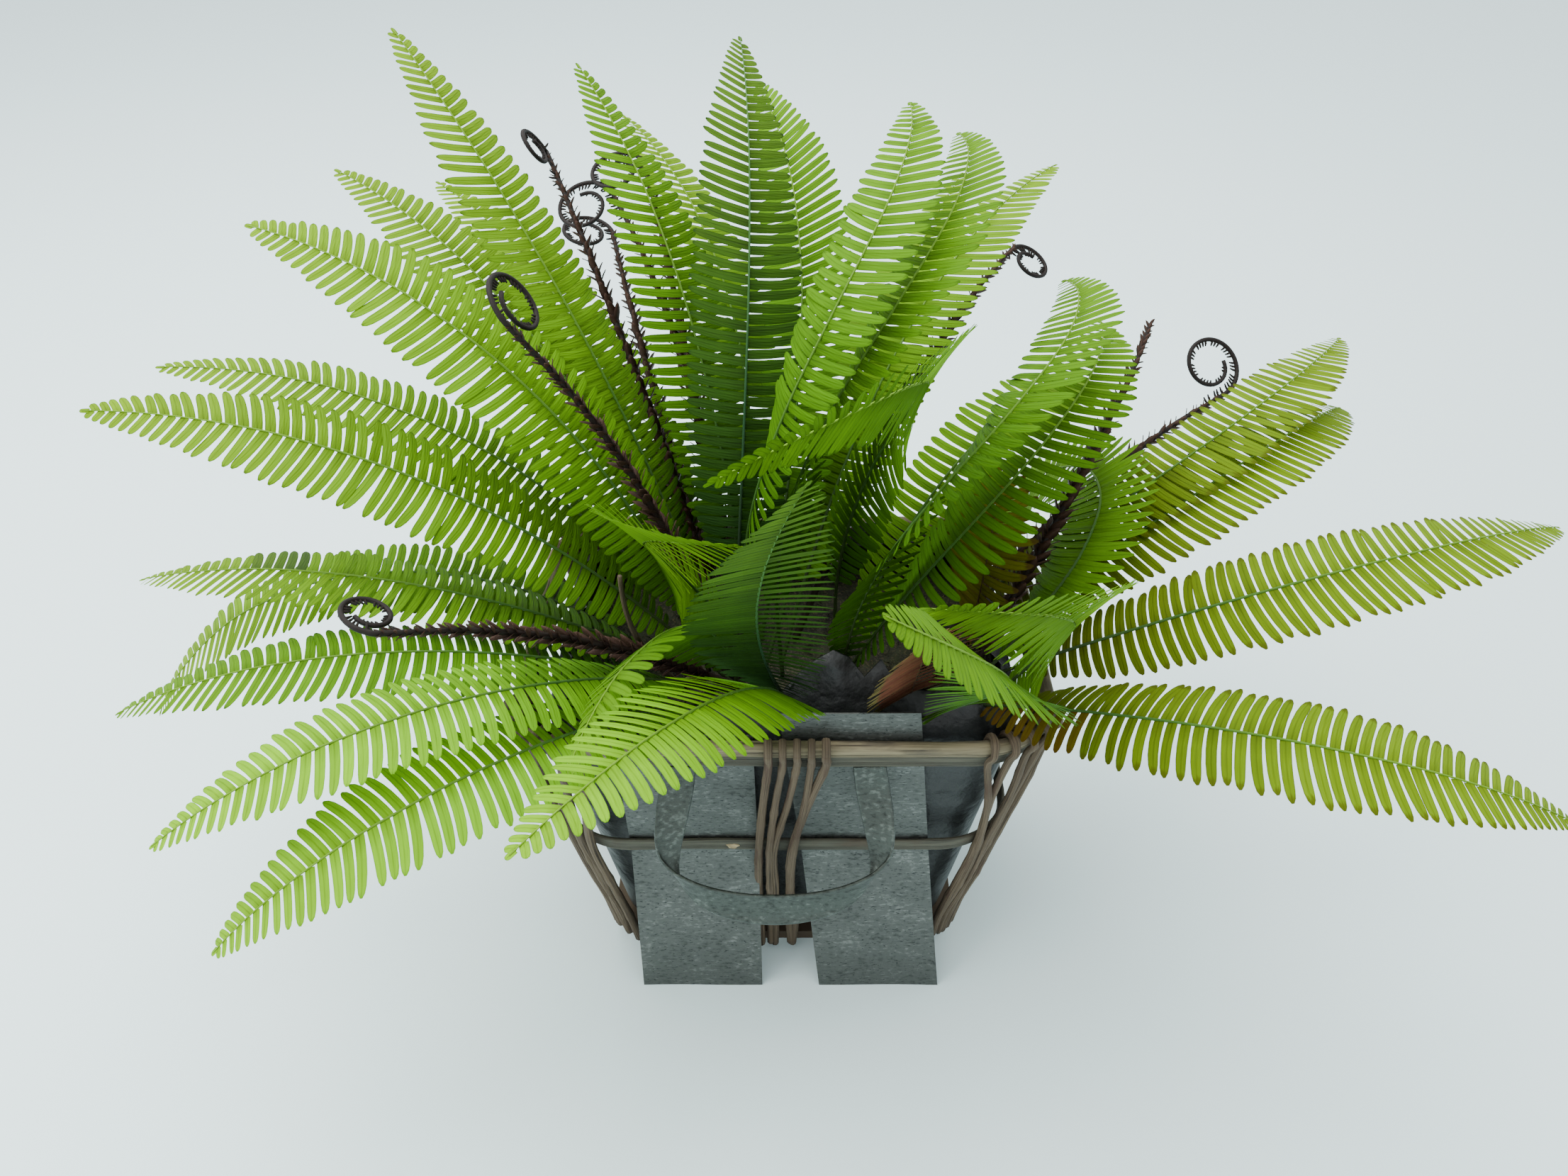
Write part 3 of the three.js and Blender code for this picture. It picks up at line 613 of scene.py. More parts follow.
def smooth_curve(points: Array, at: Array) -> Array:
    """A smooth curve through points, read at places counted in points.

    Args:
        points: The points, first axis along the curve.
        at: Places from 0 to the last point's number.

    Returns:
        The curve at those places.
    """
    last = len(points) - 1
    slopes = np.gradient(points, axis=0)
    index = np.clip(np.floor(at).astype(int), 0, last - 1)
    t = (at - index).reshape((-1,) + (1,) * (points.ndim - 1))
    a, b = points[index], points[index + 1]
    da, db = slopes[index], slopes[index + 1]
    return (
        a * (2 * t**3 - 3 * t**2 + 1) + b * (3 * t**2 - 2 * t**3)
        + da * (t**3 - 2 * t**2 + t) + db * (t**3 - t**2)
    )


def lengths_along(points: Array) -> Array:
    """How far along its line each point lies."""
    steps = np.linalg.norm(np.diff(points, axis=0), axis=1)
    return np.concatenate([[0.0], np.cumsum(steps)])


def swing(points: Array, closed: bool = False) -> Array:
    """The direction of a line at each of its points.

    Args:
        points: The line's points.
        closed: Whether its last point joins its first.

    Returns:
        The directions, each one long.
    """
    if closed:
        return unit(np.roll(points, -1, axis=0) - np.roll(points, 1, axis=0))
    return unit(np.gradient(points, axis=0))


def read_at(at: Union[Array, float], far: Array, points: Array) -> Array:
    """Reads a line, or the values along it, at places on the straight steps between its points.

    Args:
        at: The places, as distances or heights.
        far: The place of each point.
        points: The points.

    Returns:
        What stands at those places.
    """
    return np.stack([np.interp(at, far, points[:, axis]) for axis in range(3)], axis=-1)


def blade_rings(
    middle: Array, side: Array, rise: Array, drop: Union[Array, float] = 0.0
) -> Array:
    """The rings of a leaflet or a scale, which have four corners each.

    Args:
        middle: The places along its middle.
        side: From each place to one edge of the blade.
        rise: From each place to its upper face.
        drop: How far its edges hang below its middle.

    Returns:
        The rings, (place, corner, 3).
    """
    under = middle - rise - drop * 0.3
    return np.stack([middle - side - drop, middle + rise, middle + side - drop, under], 1)[:, ::-1]


def laid(rings: Array, *values: Union[Array, float]) -> Array:
    """The "lay" value of each point of some rings.

    Args:
        rings: The points, (ring, place in the ring, 3).
        values: Its three numbers, each one for all or an array that fits the rings.

    Returns:
        The values, in the shape of the rings.
    """
    lay = np.empty(rings.shape)
    for axis, value in enumerate(values):
        lay[..., axis] = value
    return lay


def carried_normals(directions: Array, first: Array) -> Array:
    """A normal for each direction that turns as little as it can on the way.

    Args:
        directions: The line's directions.
        first: Roughly the first normal.

    Returns:
        The normals.
    """
    normals = np.empty_like(directions)
    normal = first
    for i, direction in enumerate(directions):
        normal = unit(normal - direction * (normal @ direction))
        normals[i] = normal
    return normals


def seed_of(name: str) -> int:
    """A number that depends only on a name."""
    return sum((i + 1) * ord(letter) for i, letter in enumerate(name))


class Skin:
    """The faces of one piece, with the surface values that its finish reads."""

    def __init__(self) -> None:
        """Starts with no faces."""
        self.flat_slots: tuple[int, ...] = ()
        self._points: list[Array] = []
        self._lay: list[Array] = []
        self._dye: list[Array] = []
        self._faces: list[Array] = []
        self._slots: list[Array] = []
        self._count = 0

    def add_loft(
        self, rings: Array, lay: Values = (0, 0, 0), dye: Values = (0, 0, 0), slot: int = 0,
        closed: bool = False,
    ) -> None:
        """Adds a skin over rings.

        Args:
            rings: The points, (ring, place in the ring, 3), counter-clockwise about the line.
            lay: The "lay" value of each point, or one for all.
            dye: The "dye" value of each point, or one for all.
            slot: Which of the piece's materials it takes.
            closed: Whether the last ring joins the first. If not, both ends are capped.
        """
        count, sides = rings.shape[:2]
        here = np.arange(count if closed else count - 1)[:, None] * sides
        there = (here + sides) % (count * sides)
        i = np.arange(sides)[None, :]
        j = (i + 1) % sides
        faces = np.stack([here + i, here + j, there + j, there + i], -1).reshape(-1, 4)
        if not closed:
            ends = [cap_faces(sides, 0, True), cap_faces(sides, (count - 1) * sides, False)]
            faces = np.concatenate([faces, *ends])
        for store, values in ((self._points, rings), (self._lay, lay), (self._dye, dye)):
            store.append(np.broadcast_to(values, rings.shape).reshape(-1, 3))
        self._faces.append(faces + self._count)
        self._slots.append(np.full(len(faces), slot))
        self._count += count * sides

    def piece(
        self, name: str, finishes: Sequence[Finish], slot: str, replaces: Sequence[str] = ()
    ) -> Piece:
        """Makes the piece, hangs it under the root body and hides the CAD nodes that it stands for.

        Args:
            name: The piece's name.
            finishes: Its finishes, in the order of their slots.
            slot: Not used.
            replaces: The CAD nodes that it stands for.

        Returns:
            The object.
        """
        faces = np.concatenate(self._faces)
        rows = [tuple(dict.fromkeys(face)) for face in faces.tolist()]
        mesh = bpy.data.meshes.new(name)
        mesh.from_pydata(np.concatenate(self._points).tolist(), [], rows)
        for label, values in (("lay", self._lay), ("dye", self._dye)):
            carried = mesh.attributes.new(label, "FLOAT_VECTOR", "POINT")
            carried.data.foreach_set("vector", np.concatenate(values).astype(np.float32).ravel())
        slots = np.concatenate(self._slots)
        mesh.polygons.foreach_set("use_smooth", (~np.isin(slots, self.flat_slots)).tolist())
        mesh.polygons.foreach_set("material_index", slots.tolist())
        for finish in finishes:
            mesh.materials.append(PALETTE(finish))
        mesh.update()
        made = bpy.data.objects.new(name, mesh)
        bpy.context.scene.collection.objects.link(made)
        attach(made, "root")
        if replaces:
            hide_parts(*replaces)
        LOG.info("%s: %d faces", name, len(rows))
        return made


def cap_faces(sides: int, start: int, backwards: bool) -> Array:
    """Four-sided faces that close a ring. The last may be a triangle that repeats a point.

    Args:
        sides: How many points the ring has.
        start: The number of its first point.
        backwards: Whether the cap looks back along the line.

    Returns:
        The faces.
    """
    faces = []
    low, high = 0, sides - 1
    while high - low >= 2:
        row = [low, low + 1, high - 1, high]
        faces.append(row[::-1] if backwards else row)
        low, high = low + 1, high - 1
    return np.array(faces) + start


@dataclass
class Sweep:
    """A round rod along a line. With share set, "lay" carries shares of its length, not metres."""

    line: Array
    radii: Array
    sides: int = 8
    seed: float = 0.0
    share: bool = False
    first: Triple = (0.13, 0.21, 0.97)

    def onto(self, skin: Skin, slot: int = 0) -> None:
        """Adds the rod to a skin.

        Args:
            skin: The skin it goes on.
            slot: Which of the piece's materials it takes.
        """
        directions = swing(self.line)
        normals = carried_normals(directions, np.array(self.first))
        others = np.cross(directions, normals)
        angle = np.linspace(0.0, 2 * math.pi, self.sides, endpoint=False)
        radii = np.broadcast_to(self.radii, len(self.line))[:, None, None]
        rings = self.line[:, None] + radii * (
            normals[:, None] * np.cos(angle)[None, :, None]
            + others[:, None] * np.sin(angle)[None, :, None]
        )
        far = lengths_along(self.line)
        along = far / far[-1] if self.share else far
        lay = laid(rings, along[:, None], np.abs(angle / math.pi - 1.0), self.seed)
        skin.add_loft(rings, lay, slot=slot)


# ---------------------------------------------------------------- reading the CAD solids


WELD = 0.02 * MM


def middle_height(node: str) -> float:
    """The height of the middle of a CAD node."""
    low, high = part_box(node)
    return (low[2] + high[2]) / 2


def cad_rings(node: str, start: Callable[[Array], float], count: int = 4) -> Array:
    """The rings that a lofted CAD solid was made of.

    Args:
        node: The CAD node's name.
        start: Gives a point's score. The points of the lowest scores are the first ring.
        count: How many points a ring has.

    Returns:
        The rings in order, (ring, point, 3). The points of a ring are in no set order.
    """
    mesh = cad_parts[node].data
    raw = np.array([vertex.co[:] for vertex in mesh.vertices])
    corners = np.array([face.vertices[:] for face in mesh.polygons])
    _, first, same = np.unique(
        np.round(raw / WELD), axis=0, return_index=True, return_inverse=True
    )
    points = raw[first]
    beside: list[set[int]] = [set() for _ in points]
    for face in same.reshape(-1)[corners]:
        for a in face:
            beside[a].update(face)
    lowest = np.argsort([start(point) for point in points])[:count]
    rings = [sorted(int(i) for i in lowest)]
    seen = set(rings[0])
    while True:
        following = set().union(*(beside[i] for i in rings[-1])) - seen
        if not following:
            break
        rings.append(sorted(following))
        seen |= following
    return np.array([points[ring] for ring in rings])


def nearest_axis(height: float) -> Callable[[Array], float]:
    """Makes the score that finds a stem's foot.

    Args:
        height: The height at which stems are cut.

    Returns:
        A score that is low for a point near that height and near the basket's middle.
    """
    def score(point: Array) -> float:
        """How far out the point is, with its height counting most."""
        return float(20.0 * max(0.0, abs(point[2] - height) - 4 * MM) + np.hypot(*point[:2]))
    return score


@dataclass
class BladeLine:
    """The rib of a frond, with the blade's direction and half width along it."""

    places: Array
    across: Array
    half: Array

    @classmethod
    def read(cls, node: str, foot: float) -> "BladeLine":
        """Reads a frond's CAD blade.

        Args:
            node: The CAD node.
            foot: The height at which stalks are cut.

        Returns:
            The rib, read at even steps.
        """
        rings = cad_rings(node, nearest_axis(foot))
        along = swing(rings.mean(axis=1))
        wide = len(rings) // 2
        gaps = np.linalg.norm(rings[wide][:, None] - rings[wide][None], axis=2)
        one, other = np.unravel_index(int(np.argmax(gaps)), gaps.shape)
        read: dict[int, tuple[Array, Array, float]] = {}
        for order in (range(wide, -1, -1), range(wide, len(rings))):
            across = unit(rings[wide][other] - rings[wide][one])
            for i in order:
                read[i] = cls._ring(rings[i], across)
                across = read[i][1]
        line = cls(*(np.array(values) for values in zip(*(read[i] for i in sorted(read)))))
        line._face_up(rings, along)
        return line

    @staticmethod
    def _ring(ring: Array, across: Array) -> tuple[Array, Array, float]:
        """Reads one ring of a blade.

        Args:
            ring: Its four points.
            across: Roughly the direction across the blade.

        Returns:
            The rib's place, the direction across, the half width.
        """
        ends = ring[np.argsort(ring @ across)[[0, -1]]]
        faces = np.array([p for p in ring if not any((p == e).all() for e in ends)])
        span = ends[1] - ends[0]
        return faces.mean(axis=0), unit(span), float(np.linalg.norm(span)) / 2

    def _face_up(self, rings: Array, along: Array) -> None:
        """Turns the blade so that its edges hang below its rib.

        Args:
            rings: The CAD rings.
            along: The direction along the blade at each ring.
        """
        wide = len(rings) // 2
        hang = self.places[wide] - rings[wide].mean(axis=0)
        if np.cross(self.across[wide], along[wide]) @ hang < 0:
            self.across = -self.across

    def even(self, steps: int) -> tuple[Array, Array, Array, Array, Array]:
        """The line read at even distances.

        Args:
            steps: How many places.

        Returns:
            Distances, places, directions along, directions across, half widths.
        """
        dense = np.linspace(0, len(self.places) - 1, 400)
        places = smooth_curve(self.places, dense)
        far = lengths_along(places)
        at = np.interp(np.linspace(0, far[-1], steps), far, dense)
        places = smooth_curve(self.places, at)
        along = swing(places)
        across = smooth_curve(self.across, at)
        across = unit(across - along * (across * along).sum(1, keepdims=True))
        half = np.interp(at, np.arange(len(self.half)), self.half)
        return lengths_along(places), places, along, across, half


# ---------------------------------------------------------------- fronds


class Habit(Enum):
    """How a frond's leaflets stand: apart, or so close that the blade reads as one sheet."""

    OPEN = "open"
    CLOSE = "close"


@dataclass(frozen=True)
class FrondLook:
    """A frond's finishes, its habit, and the shares between which one side of it is stained."""

    leaf: LeafFinish = LIVELY
    stem: StemFinish = GREEN_STEM
    habit: Habit = Habit.OPEN
    stained: tuple[float, float] = (2.0, 2.0)
    stained_side: int = 1


LEAF_SHARES = np.array([0, 0.07, 0.2, 0.42, 0.64, 0.82, 0.93, 1])
LEAF_OUTLINE = np.array([0.94, 1, 1, 0.98, 0.95, 0.87, 0.67, 0.24])
SHEET_OUTLINE = np.array([1, 1, 1, 0.97, 0.86, 0.66, 0.44, 0.16])
LANES = np.array([0.0, 1.0, 0.0, -1.0])


@dataclass
class Frond:
    """One frond: a moulded rib with a row of cloth leaflets on each side.

    Under full_blade a leaflet is smaller, and under full_gap its neighbours stand closer.
    """

    node: str
    foot: float
    look: FrondLook
    pitch: float = 7.5 * MM
    leaflet_width: float = 6.2 * MM
    sheet_overlap: float = 1.06
    thickness: float = 0.25 * MM
    cup: float = 0.05
    sag: float = 0.12
    full_blade: float = 0.026
    full_gap: float = 0.024
    tip_lean: float = 13.0
    sheet_tip_lean: float = 24.0
    rib_radius: float = 0.95 * MM
    rib_steps: int = 160
    bare: float = 0.145
    end_share: float = 0.985
    end_length: float = 5.5 * MM
    end_half_width: float = 1.7 * MM

    def build(self) -> None:
        """Builds the frond over its CAD blade."""
        skin = Skin()
        skin.flat_slots = (0,)
        self.rng = np.random.default_rng(seed_of(self.node))
        line = BladeLine.read(self.node, self.foot)
        self.far, self.places, self.along, self.across, self.half = line.even(self.rib_steps)
        self._rib(skin)
        for side in (-1, 1):
            for distance in self._leaflet_places(side):
                self._leaflet(skin, side, distance)
        self._end_leaflet(skin)
        finishes = (self.look.leaf, self.look.stem)
        skin.piece(self.node + "_leaflets", finishes, self.look.leaf.slot, (self.node,))

    def _at(self, distance: float) -> tuple[Array, Array, Array, Array, float]:
        """Reads the rib at a distance.

        Args:
            distance: The distance along the rib.

        Returns:
            Its place, the directions along, across and up, the half width.
        """
        place, along, across = (
            read_at(distance, self.far, values) for values in (self.places, self.along, self.across)
        )
        along, across = unit(along), unit(across)
        half = float(np.interp(distance, self.far, self.half))
        return place, along, across, np.cross(across, along), half

    def _leaflet_places(self, side: int) -> list[float]:
        """Finds where along the rib the leaflets of one side stand.

        Args:
            side: 1 for the side that across points to, else -1.

        Returns:
            Their distances along the rib.
        """
        places = []
        length = self.far[-1]
        distance = self.bare * length + (0.5 * self.pitch if side > 0 else 0.0)
        while distance < length * self.end_share:
            places.append(distance)
            half = float(np.interp(distance, self.far, self.half))
            distance += self.pitch * (0.70 + 0.30 * min(1.0, half / self.full_gap))
        return places

    def _leaflet(self, skin: Skin, side: int, distance: float) -> None:
        """Adds one leaflet.

        Args:
            skin: The skin it goes on.
            side: 1 for the side that across points to, else -1.
            distance: Where it stands along the rib.
        """
        place, along, across, up, half = self._at(distance)
        share = distance / self.far[-1]
        close = self.look.habit is Habit.CLOSE
        rng = self.rng
        reach = half * (1 + rng.normal(0, 0.02))
        size = 0.66 + 0.34 * min(1.0, half / self.full_blade)
        width = size * (self.pitch * self.sheet_overlap if close else self.leaflet_width) / 2
        foot_lean = math.radians(-2 + 34 * share**2.8 + rng.normal(0, 1.2))
        tip_lean = self.sheet_tip_lean if close else self.tip_lean
        tip_lean = foot_lean + math.radians(rng.normal(tip_lean, 3))
        lean = foot_lean + (tip_lean - foot_lean) * LEAF_SHARES**1.8
        steps = np.diff(LEAF_SHARES, prepend=0.0)
        out = np.cumsum(np.cos(lean) * steps)
        ahead = np.cumsum(np.sin(lean) * steps)
        out, ahead = (values * reach / out[-1] for values in (out, ahead))
        drop = -reach * (self.sag + rng.normal(0, 0.015)) * LEAF_SHARES**1.4
        curl = -reach * abs(rng.normal(0.012, 0.02)) * LEAF_SHARES**4
        middle = (
            place + side * np.outer(out, across) + np.outer(ahead, along)
            + np.outer(drop + curl, up)
        )
        headed = side * np.outer(np.cos(lean), across) + np.outer(np.sin(lean), along)
        wide = unit(np.cross(np.broadcast_to(up, headed.shape), headed))
        tilt = math.radians(rng.normal(5, 3)) * side
        lifted = up * math.cos(tilt)
        wide = unit(wide + up * math.sin(tilt) * side)
        half_width = (width * (SHEET_OUTLINE if close else LEAF_OUTLINE))[:, None]
        rings = blade_rings(
            middle, wide * half_width, lifted * self.thickness / 2, lifted * (self.cup * half_width)
        )
        first, last = self.look.stained
        is_stained = first < share < last and side == self.look.stained_side
        stain = float(is_stained) * rng.uniform(0.6, 0.9)
        dye = (float(rng.normal(0, 0.7)), stain, float(rng.uniform()))
        skin.add_loft(rings, laid(rings, share, LEAF_SHARES[:, None], LANES), dye)

    def _end_leaflet(self, skin: Skin) -> None:
        """Adds the small leaflet that ends the rib.

        Args:
            skin: The skin it goes on.
        """
        place, along, across, up, _ = self._at(self.far[-1] * self.end_share)
        middle = place + np.outer(LEAF_SHARES * self.end_length, along)
        side = across * (self.end_half_width * LEAF_OUTLINE)[:, None]
        rings = blade_rings(middle, side, -up * self.thickness / 2)
        skin.add_loft(rings, laid(rings, 0.99, LEAF_SHARES[:, None], LANES), (0.0, 0.0, 0.5))

    def _rib(self, skin: Skin) -> None:
        """Adds the moulded rib, thick at its foot.

        Args:
            skin: The skin it goes on.
        """
        share = self.far / self.far[-1]
        radii = self.rib_radius * np.interp(
            share, [0, 0.05, 0.14, 0.3, 0.7, 1], [1.75, 1.6, 1.3, 1.0, 0.72, 0.34]
        )
        up = np.cross(self.across, self.along)
        line = self.places + up * 0.25 * MM
        seed = float(self.rng.uniform())
        Sweep(line[::2], radii[::2], 7, seed=seed, share=True, first=tuple(up[0])).onto(skin, 1)


FROND_LOOKS: dict[str, FrondLook] = {
    "frond_" + name: look
    for look, names in (
        (FrondLook(BRIGHT), "left_bright"),
        (FrondLook(stained=(0.70, 0.80)), "left_low_upper"),
        (FrondLook(GRASS), "left_low front_left_folded back_left_tall back_middle right_arched"),
        (FrondLook(GRASS), "back_right_tall right_tall front_right_long front_right_bent"),
        (FrondLook(GRASS), "centre_folded"),
        (FrondLook(LIME), "left_bottom front_left_low front_left_trailing"),
        (FrondLook(DEEP, DEEP_STEM), "middle_tall centre_low"),
        (FrondLook(SHEET), "right_short"),
        (FrondLook(SHEET, habit=Habit.CLOSE), "centre_curled front_right_curled right_curled"),
        (FrondLook(SUNNY), "right_rising right_upper right_level"),
        (FrondLook(SUNNY, stained=(0.15, 0.34)), "right_trailing"),
        (FrondLook(RUST, BROWN_STEM, Habit.CLOSE), "front_rust"),
        (FrondLook(OLIVE, BROWN_STEM, Habit.CLOSE), "right_olive"),
    )
    for name in names.split()
}


# ---------------------------------------------------------------- crosiers


def grown_line(
    x: float, y: float, foot: float, heading: float, turn: float, rise: float, droop: float,
    length: float, steps: int = 24,
) -> Array:
    """The line of a stem that grows out of the foam.

    Args:
        x: Where it stands, along X.
        y: Where it stands, along Y.
        foot: The height at which it is cut.
        heading: The compass heading it leaves in, in degrees.
        turn: How far it turns on the way, in degrees.
        rise: How steeply it leaves, in degrees.
        droop: How far it droops by its end, in degrees.
        length: How long it is.
        steps: How many steps it is drawn in.

    Returns:
        The line's points.
    """
    share = (np.arange(steps) + 0.5) / steps
    slope = np.radians(rise - droop * share**1.4)
    compass = np.radians(heading + turn * share)
    along = np.stack(
        [np.cos(slope) * np.cos(compass), np.cos(slope) * np.sin(compass), np.sin(slope)], 1
    )
    start = np.array([[x, y, foot]])
    return np.concatenate([start, start + np.cumsum(along * length / steps, axis=0)])


COIL_SIGHT = 38.0


def coil_line(
    line: Array, radius: float, side: int, tip: float, steps: int = 36, turns: float = 1.25,
    shrink: float = 0.5,
) -> Array:
    """Carries a stem's line on into a coil, whose flat side faces a viewer in front and above.

    Args:
        line: The stem's line.
        radius: The coil's radius where it starts.
        side: 1 or -1, the side of the stem it turns to.
        tip: How far it is tipped about the stem, in degrees.
        steps: How many steps it is drawn in.
        turns: How many turns it makes.
        shrink: How much smaller it has become at its end.

    Returns:
        The stem and its coil.
    """
    along = unit(line[-1] - line[-2])
    sight = math.radians(COIL_SIGHT)
    towards = side * unit(np.cross(along, np.array([0.0, math.cos(sight), -math.sin(sight)])))
    lean = math.radians(tip)
    towards = towards * math.cos(lean) + np.cross(along, towards) * math.sin(lean)
    step = 2 * math.pi * turns / steps
    middle = np.arange(steps) + 0.5
    reach = radius * (1 - shrink * middle / steps) * step
    moves = np.outer(reach * np.cos(middle * step), along)
    moves += np.outer(reach * np.sin(middle * step), towards)
    return np.concatenate([line, line[-1] + np.cumsum(moves, axis=0)])


@dataclass
class Crosier:
    """A young shoot: a thin dark stem with rows of dry scales, and teeth inside its coil."""

    name: str
    line: Array
    coil_from: float
    node: Optional[str] = None
    radii: Triple = (2.9 * MM, 2.0 * MM, 1.5 * MM)
    first: Triple = (0.9, 0.1, 0.2)
    line_step: float = 3.0 * MM
    scale_step: float = 4.2 * MM
    scale_length: float = 15.0 * MM
    scale_half_thickness: float = 0.3 * MM
    tooth_step: float = 3.9 * MM
    tooth_length: float = 6.4 * MM
    least_bend: float = 1e-4

    def build(self) -> None:
        """Builds the shoot."""
        skin = Skin()
        self.rng = np.random.default_rng(seed_of(self.name))
        far = lengths_along(self.line)
        count = max(60, int(far[-1] / self.line_step))
        at = np.interp(np.linspace(0, far[-1], count), far, np.arange(len(self.line)))
        self.points = smooth_curve(self.line, at)
        self.far = lengths_along(self.points)
        self.along = swing(self.points)
        self.neck = self.coil_from * self.far[-1]
        radii = np.interp(self.far / self.far[-1], [0, 0.5, 1], self.radii)
        seed = float(self.rng.uniform())
        Sweep(self.points, radii, 8, seed=seed, share=True, first=self.first).onto(skin)
        self._scales(skin)
        if self.coil_from < 1:
            self._teeth(skin)
        nodes = (self.node,) if self.node else ()
        skin.piece(self.name, (SHOOT_STEM, SHOOT_SCALE), "shoot", nodes)

    def _scales(self, skin: Skin) -> None:
        """Adds the curled scales, in pairs that turn by a quarter from one to the next.

        Args:
            skin: The skin they go on.
        """
        normals = carried_normals(self.along, np.array(self.first))
        distance = 0.12 * self.neck
        row = 0
        while distance < self.neck:
            grown = np.interp(distance / self.neck, [0, 0.3, 0.7, 1], [0.9, 1, 0.72, 0.34])
            size = self.scale_length * float(grown)
            index = int(np.searchsorted(self.far, distance))
            along, normal = self.along[index], normals[index]
            other = np.cross(along, normal)
            for half_turn in range(2):
                angle = math.pi * half_turn + (row % 2) * math.pi / 2 + self.rng.normal(0, 0.22)
                outward = normal * math.cos(angle) + other * math.sin(angle)
                self._scale(skin, self.points[index], along, outward, size)
            distance += self.scale_step * (0.6 + 0.4 * size / self.scale_length)
            row += 1

    def _scale(
        self, skin: Skin, place: Array, along: Array, outward: Array, size: float
    ) -> None:
        """Adds one scale that leaves the stem steeply and curls outwards.

        Args:
            skin: The skin it goes on.
            place: Where it stands on the stem.
            along: The stem's direction there.
            outward: The direction away from the stem.
            size: Its length, roughly.
        """
        u = np.array([0.0, 0.25, 0.55, 0.8, 1.0])
        size = size * self.rng.uniform(0.8, 1.15)
        middle = place + np.outer(u * size * 0.85, along) + np.outer(0.66 * size * u**1.25, outward)
        half = (np.array([0.8, 1.2, 1.25, 0.9, 0.2]) * size * 0.19)[:, None]
        rise = self.scale_half_thickness * (outward - along * 0.5)
        rings = blade_rings(middle, unit(np.cross(along, outward)) * half, rise)
        lay = laid(rings, (0.15 + 0.85 * u)[:, None], 0.5, self.rng.uniform())
        skin.add_loft(rings, lay, slot=1)

    def _teeth(self, skin: Skin) -> None:
        """Adds the comb of short teeth on the inner side of the coil.

        Args:
            skin: The skin they go on.
        """
        bend = np.gradient(self.along, axis=0)
        radii = np.array([0.9, 0.85, 0.5]) * MM
        end = self.far[-1]
        distance = 0.93 * self.neck
        while distance < end * 0.99:
            index = min(int(np.searchsorted(self.far, distance)), len(self.points) - 1)
            along = self.along[index]
            inward = bend[index] - along * (bend[index] @ along)
            if np.linalg.norm(inward) > self.least_bend:
                left = (end - distance) / (end - self.neck)
                length = self.tooth_length * (0.45 + 0.55 * min(1.0, left))
                points = self.points[index] + np.outer(
                    np.array([0.2, 0.6, 1.0]) * length, unit(inward)
                )
                points += np.outer(np.array([0.0, 0.08, 0.22]) * length, along)
                Sweep(points, radii, 5, share=True, first=tuple(along)).onto(skin)
            distance += self.tooth_step


@dataclass(frozen=True)
class GrownShoot:
    """A shoot that stands among the others, given by how it grows (lengths in millimetres)."""

    name: str
    place: tuple[float, float]
    heading: float
    turn: float
    rise: float
    droop: float
    length: float
    coil: Optional[tuple[float, int, float]] = None

    def build(self, foot: float) -> None:
        """Builds the shoot.

        Args:
            foot: The height at which it is cut.
        """
        line = grown_line(
            self.place[0] * MM, self.place[1] * MM, foot, self.heading, self.turn, self.rise,
            self.droop, self.length * MM,
        )
        stem = lengths_along(line)[-1]
        if self.coil:
            radius, side, tip = self.coil
            line = coil_line(line, radius * MM, side, tip)
        Crosier(self.name, line, stem / lengths_along(line)[-1]).build()


GROWN_SHOOTS = (
    GrownShoot("shoot_left_rear", (-38, 16), 116, -13, 43, 29, 369, (22, 1, 20)),
    GrownShoot("shoot_middle", (8, 18), 53, 6, 51, 49, 380, (18, -1, 0)),
    GrownShoot("shoot_right_straight", (114, -50), 32, 36, 58, 46, 315),
)


# ---------------------------------------------------------------- the basket


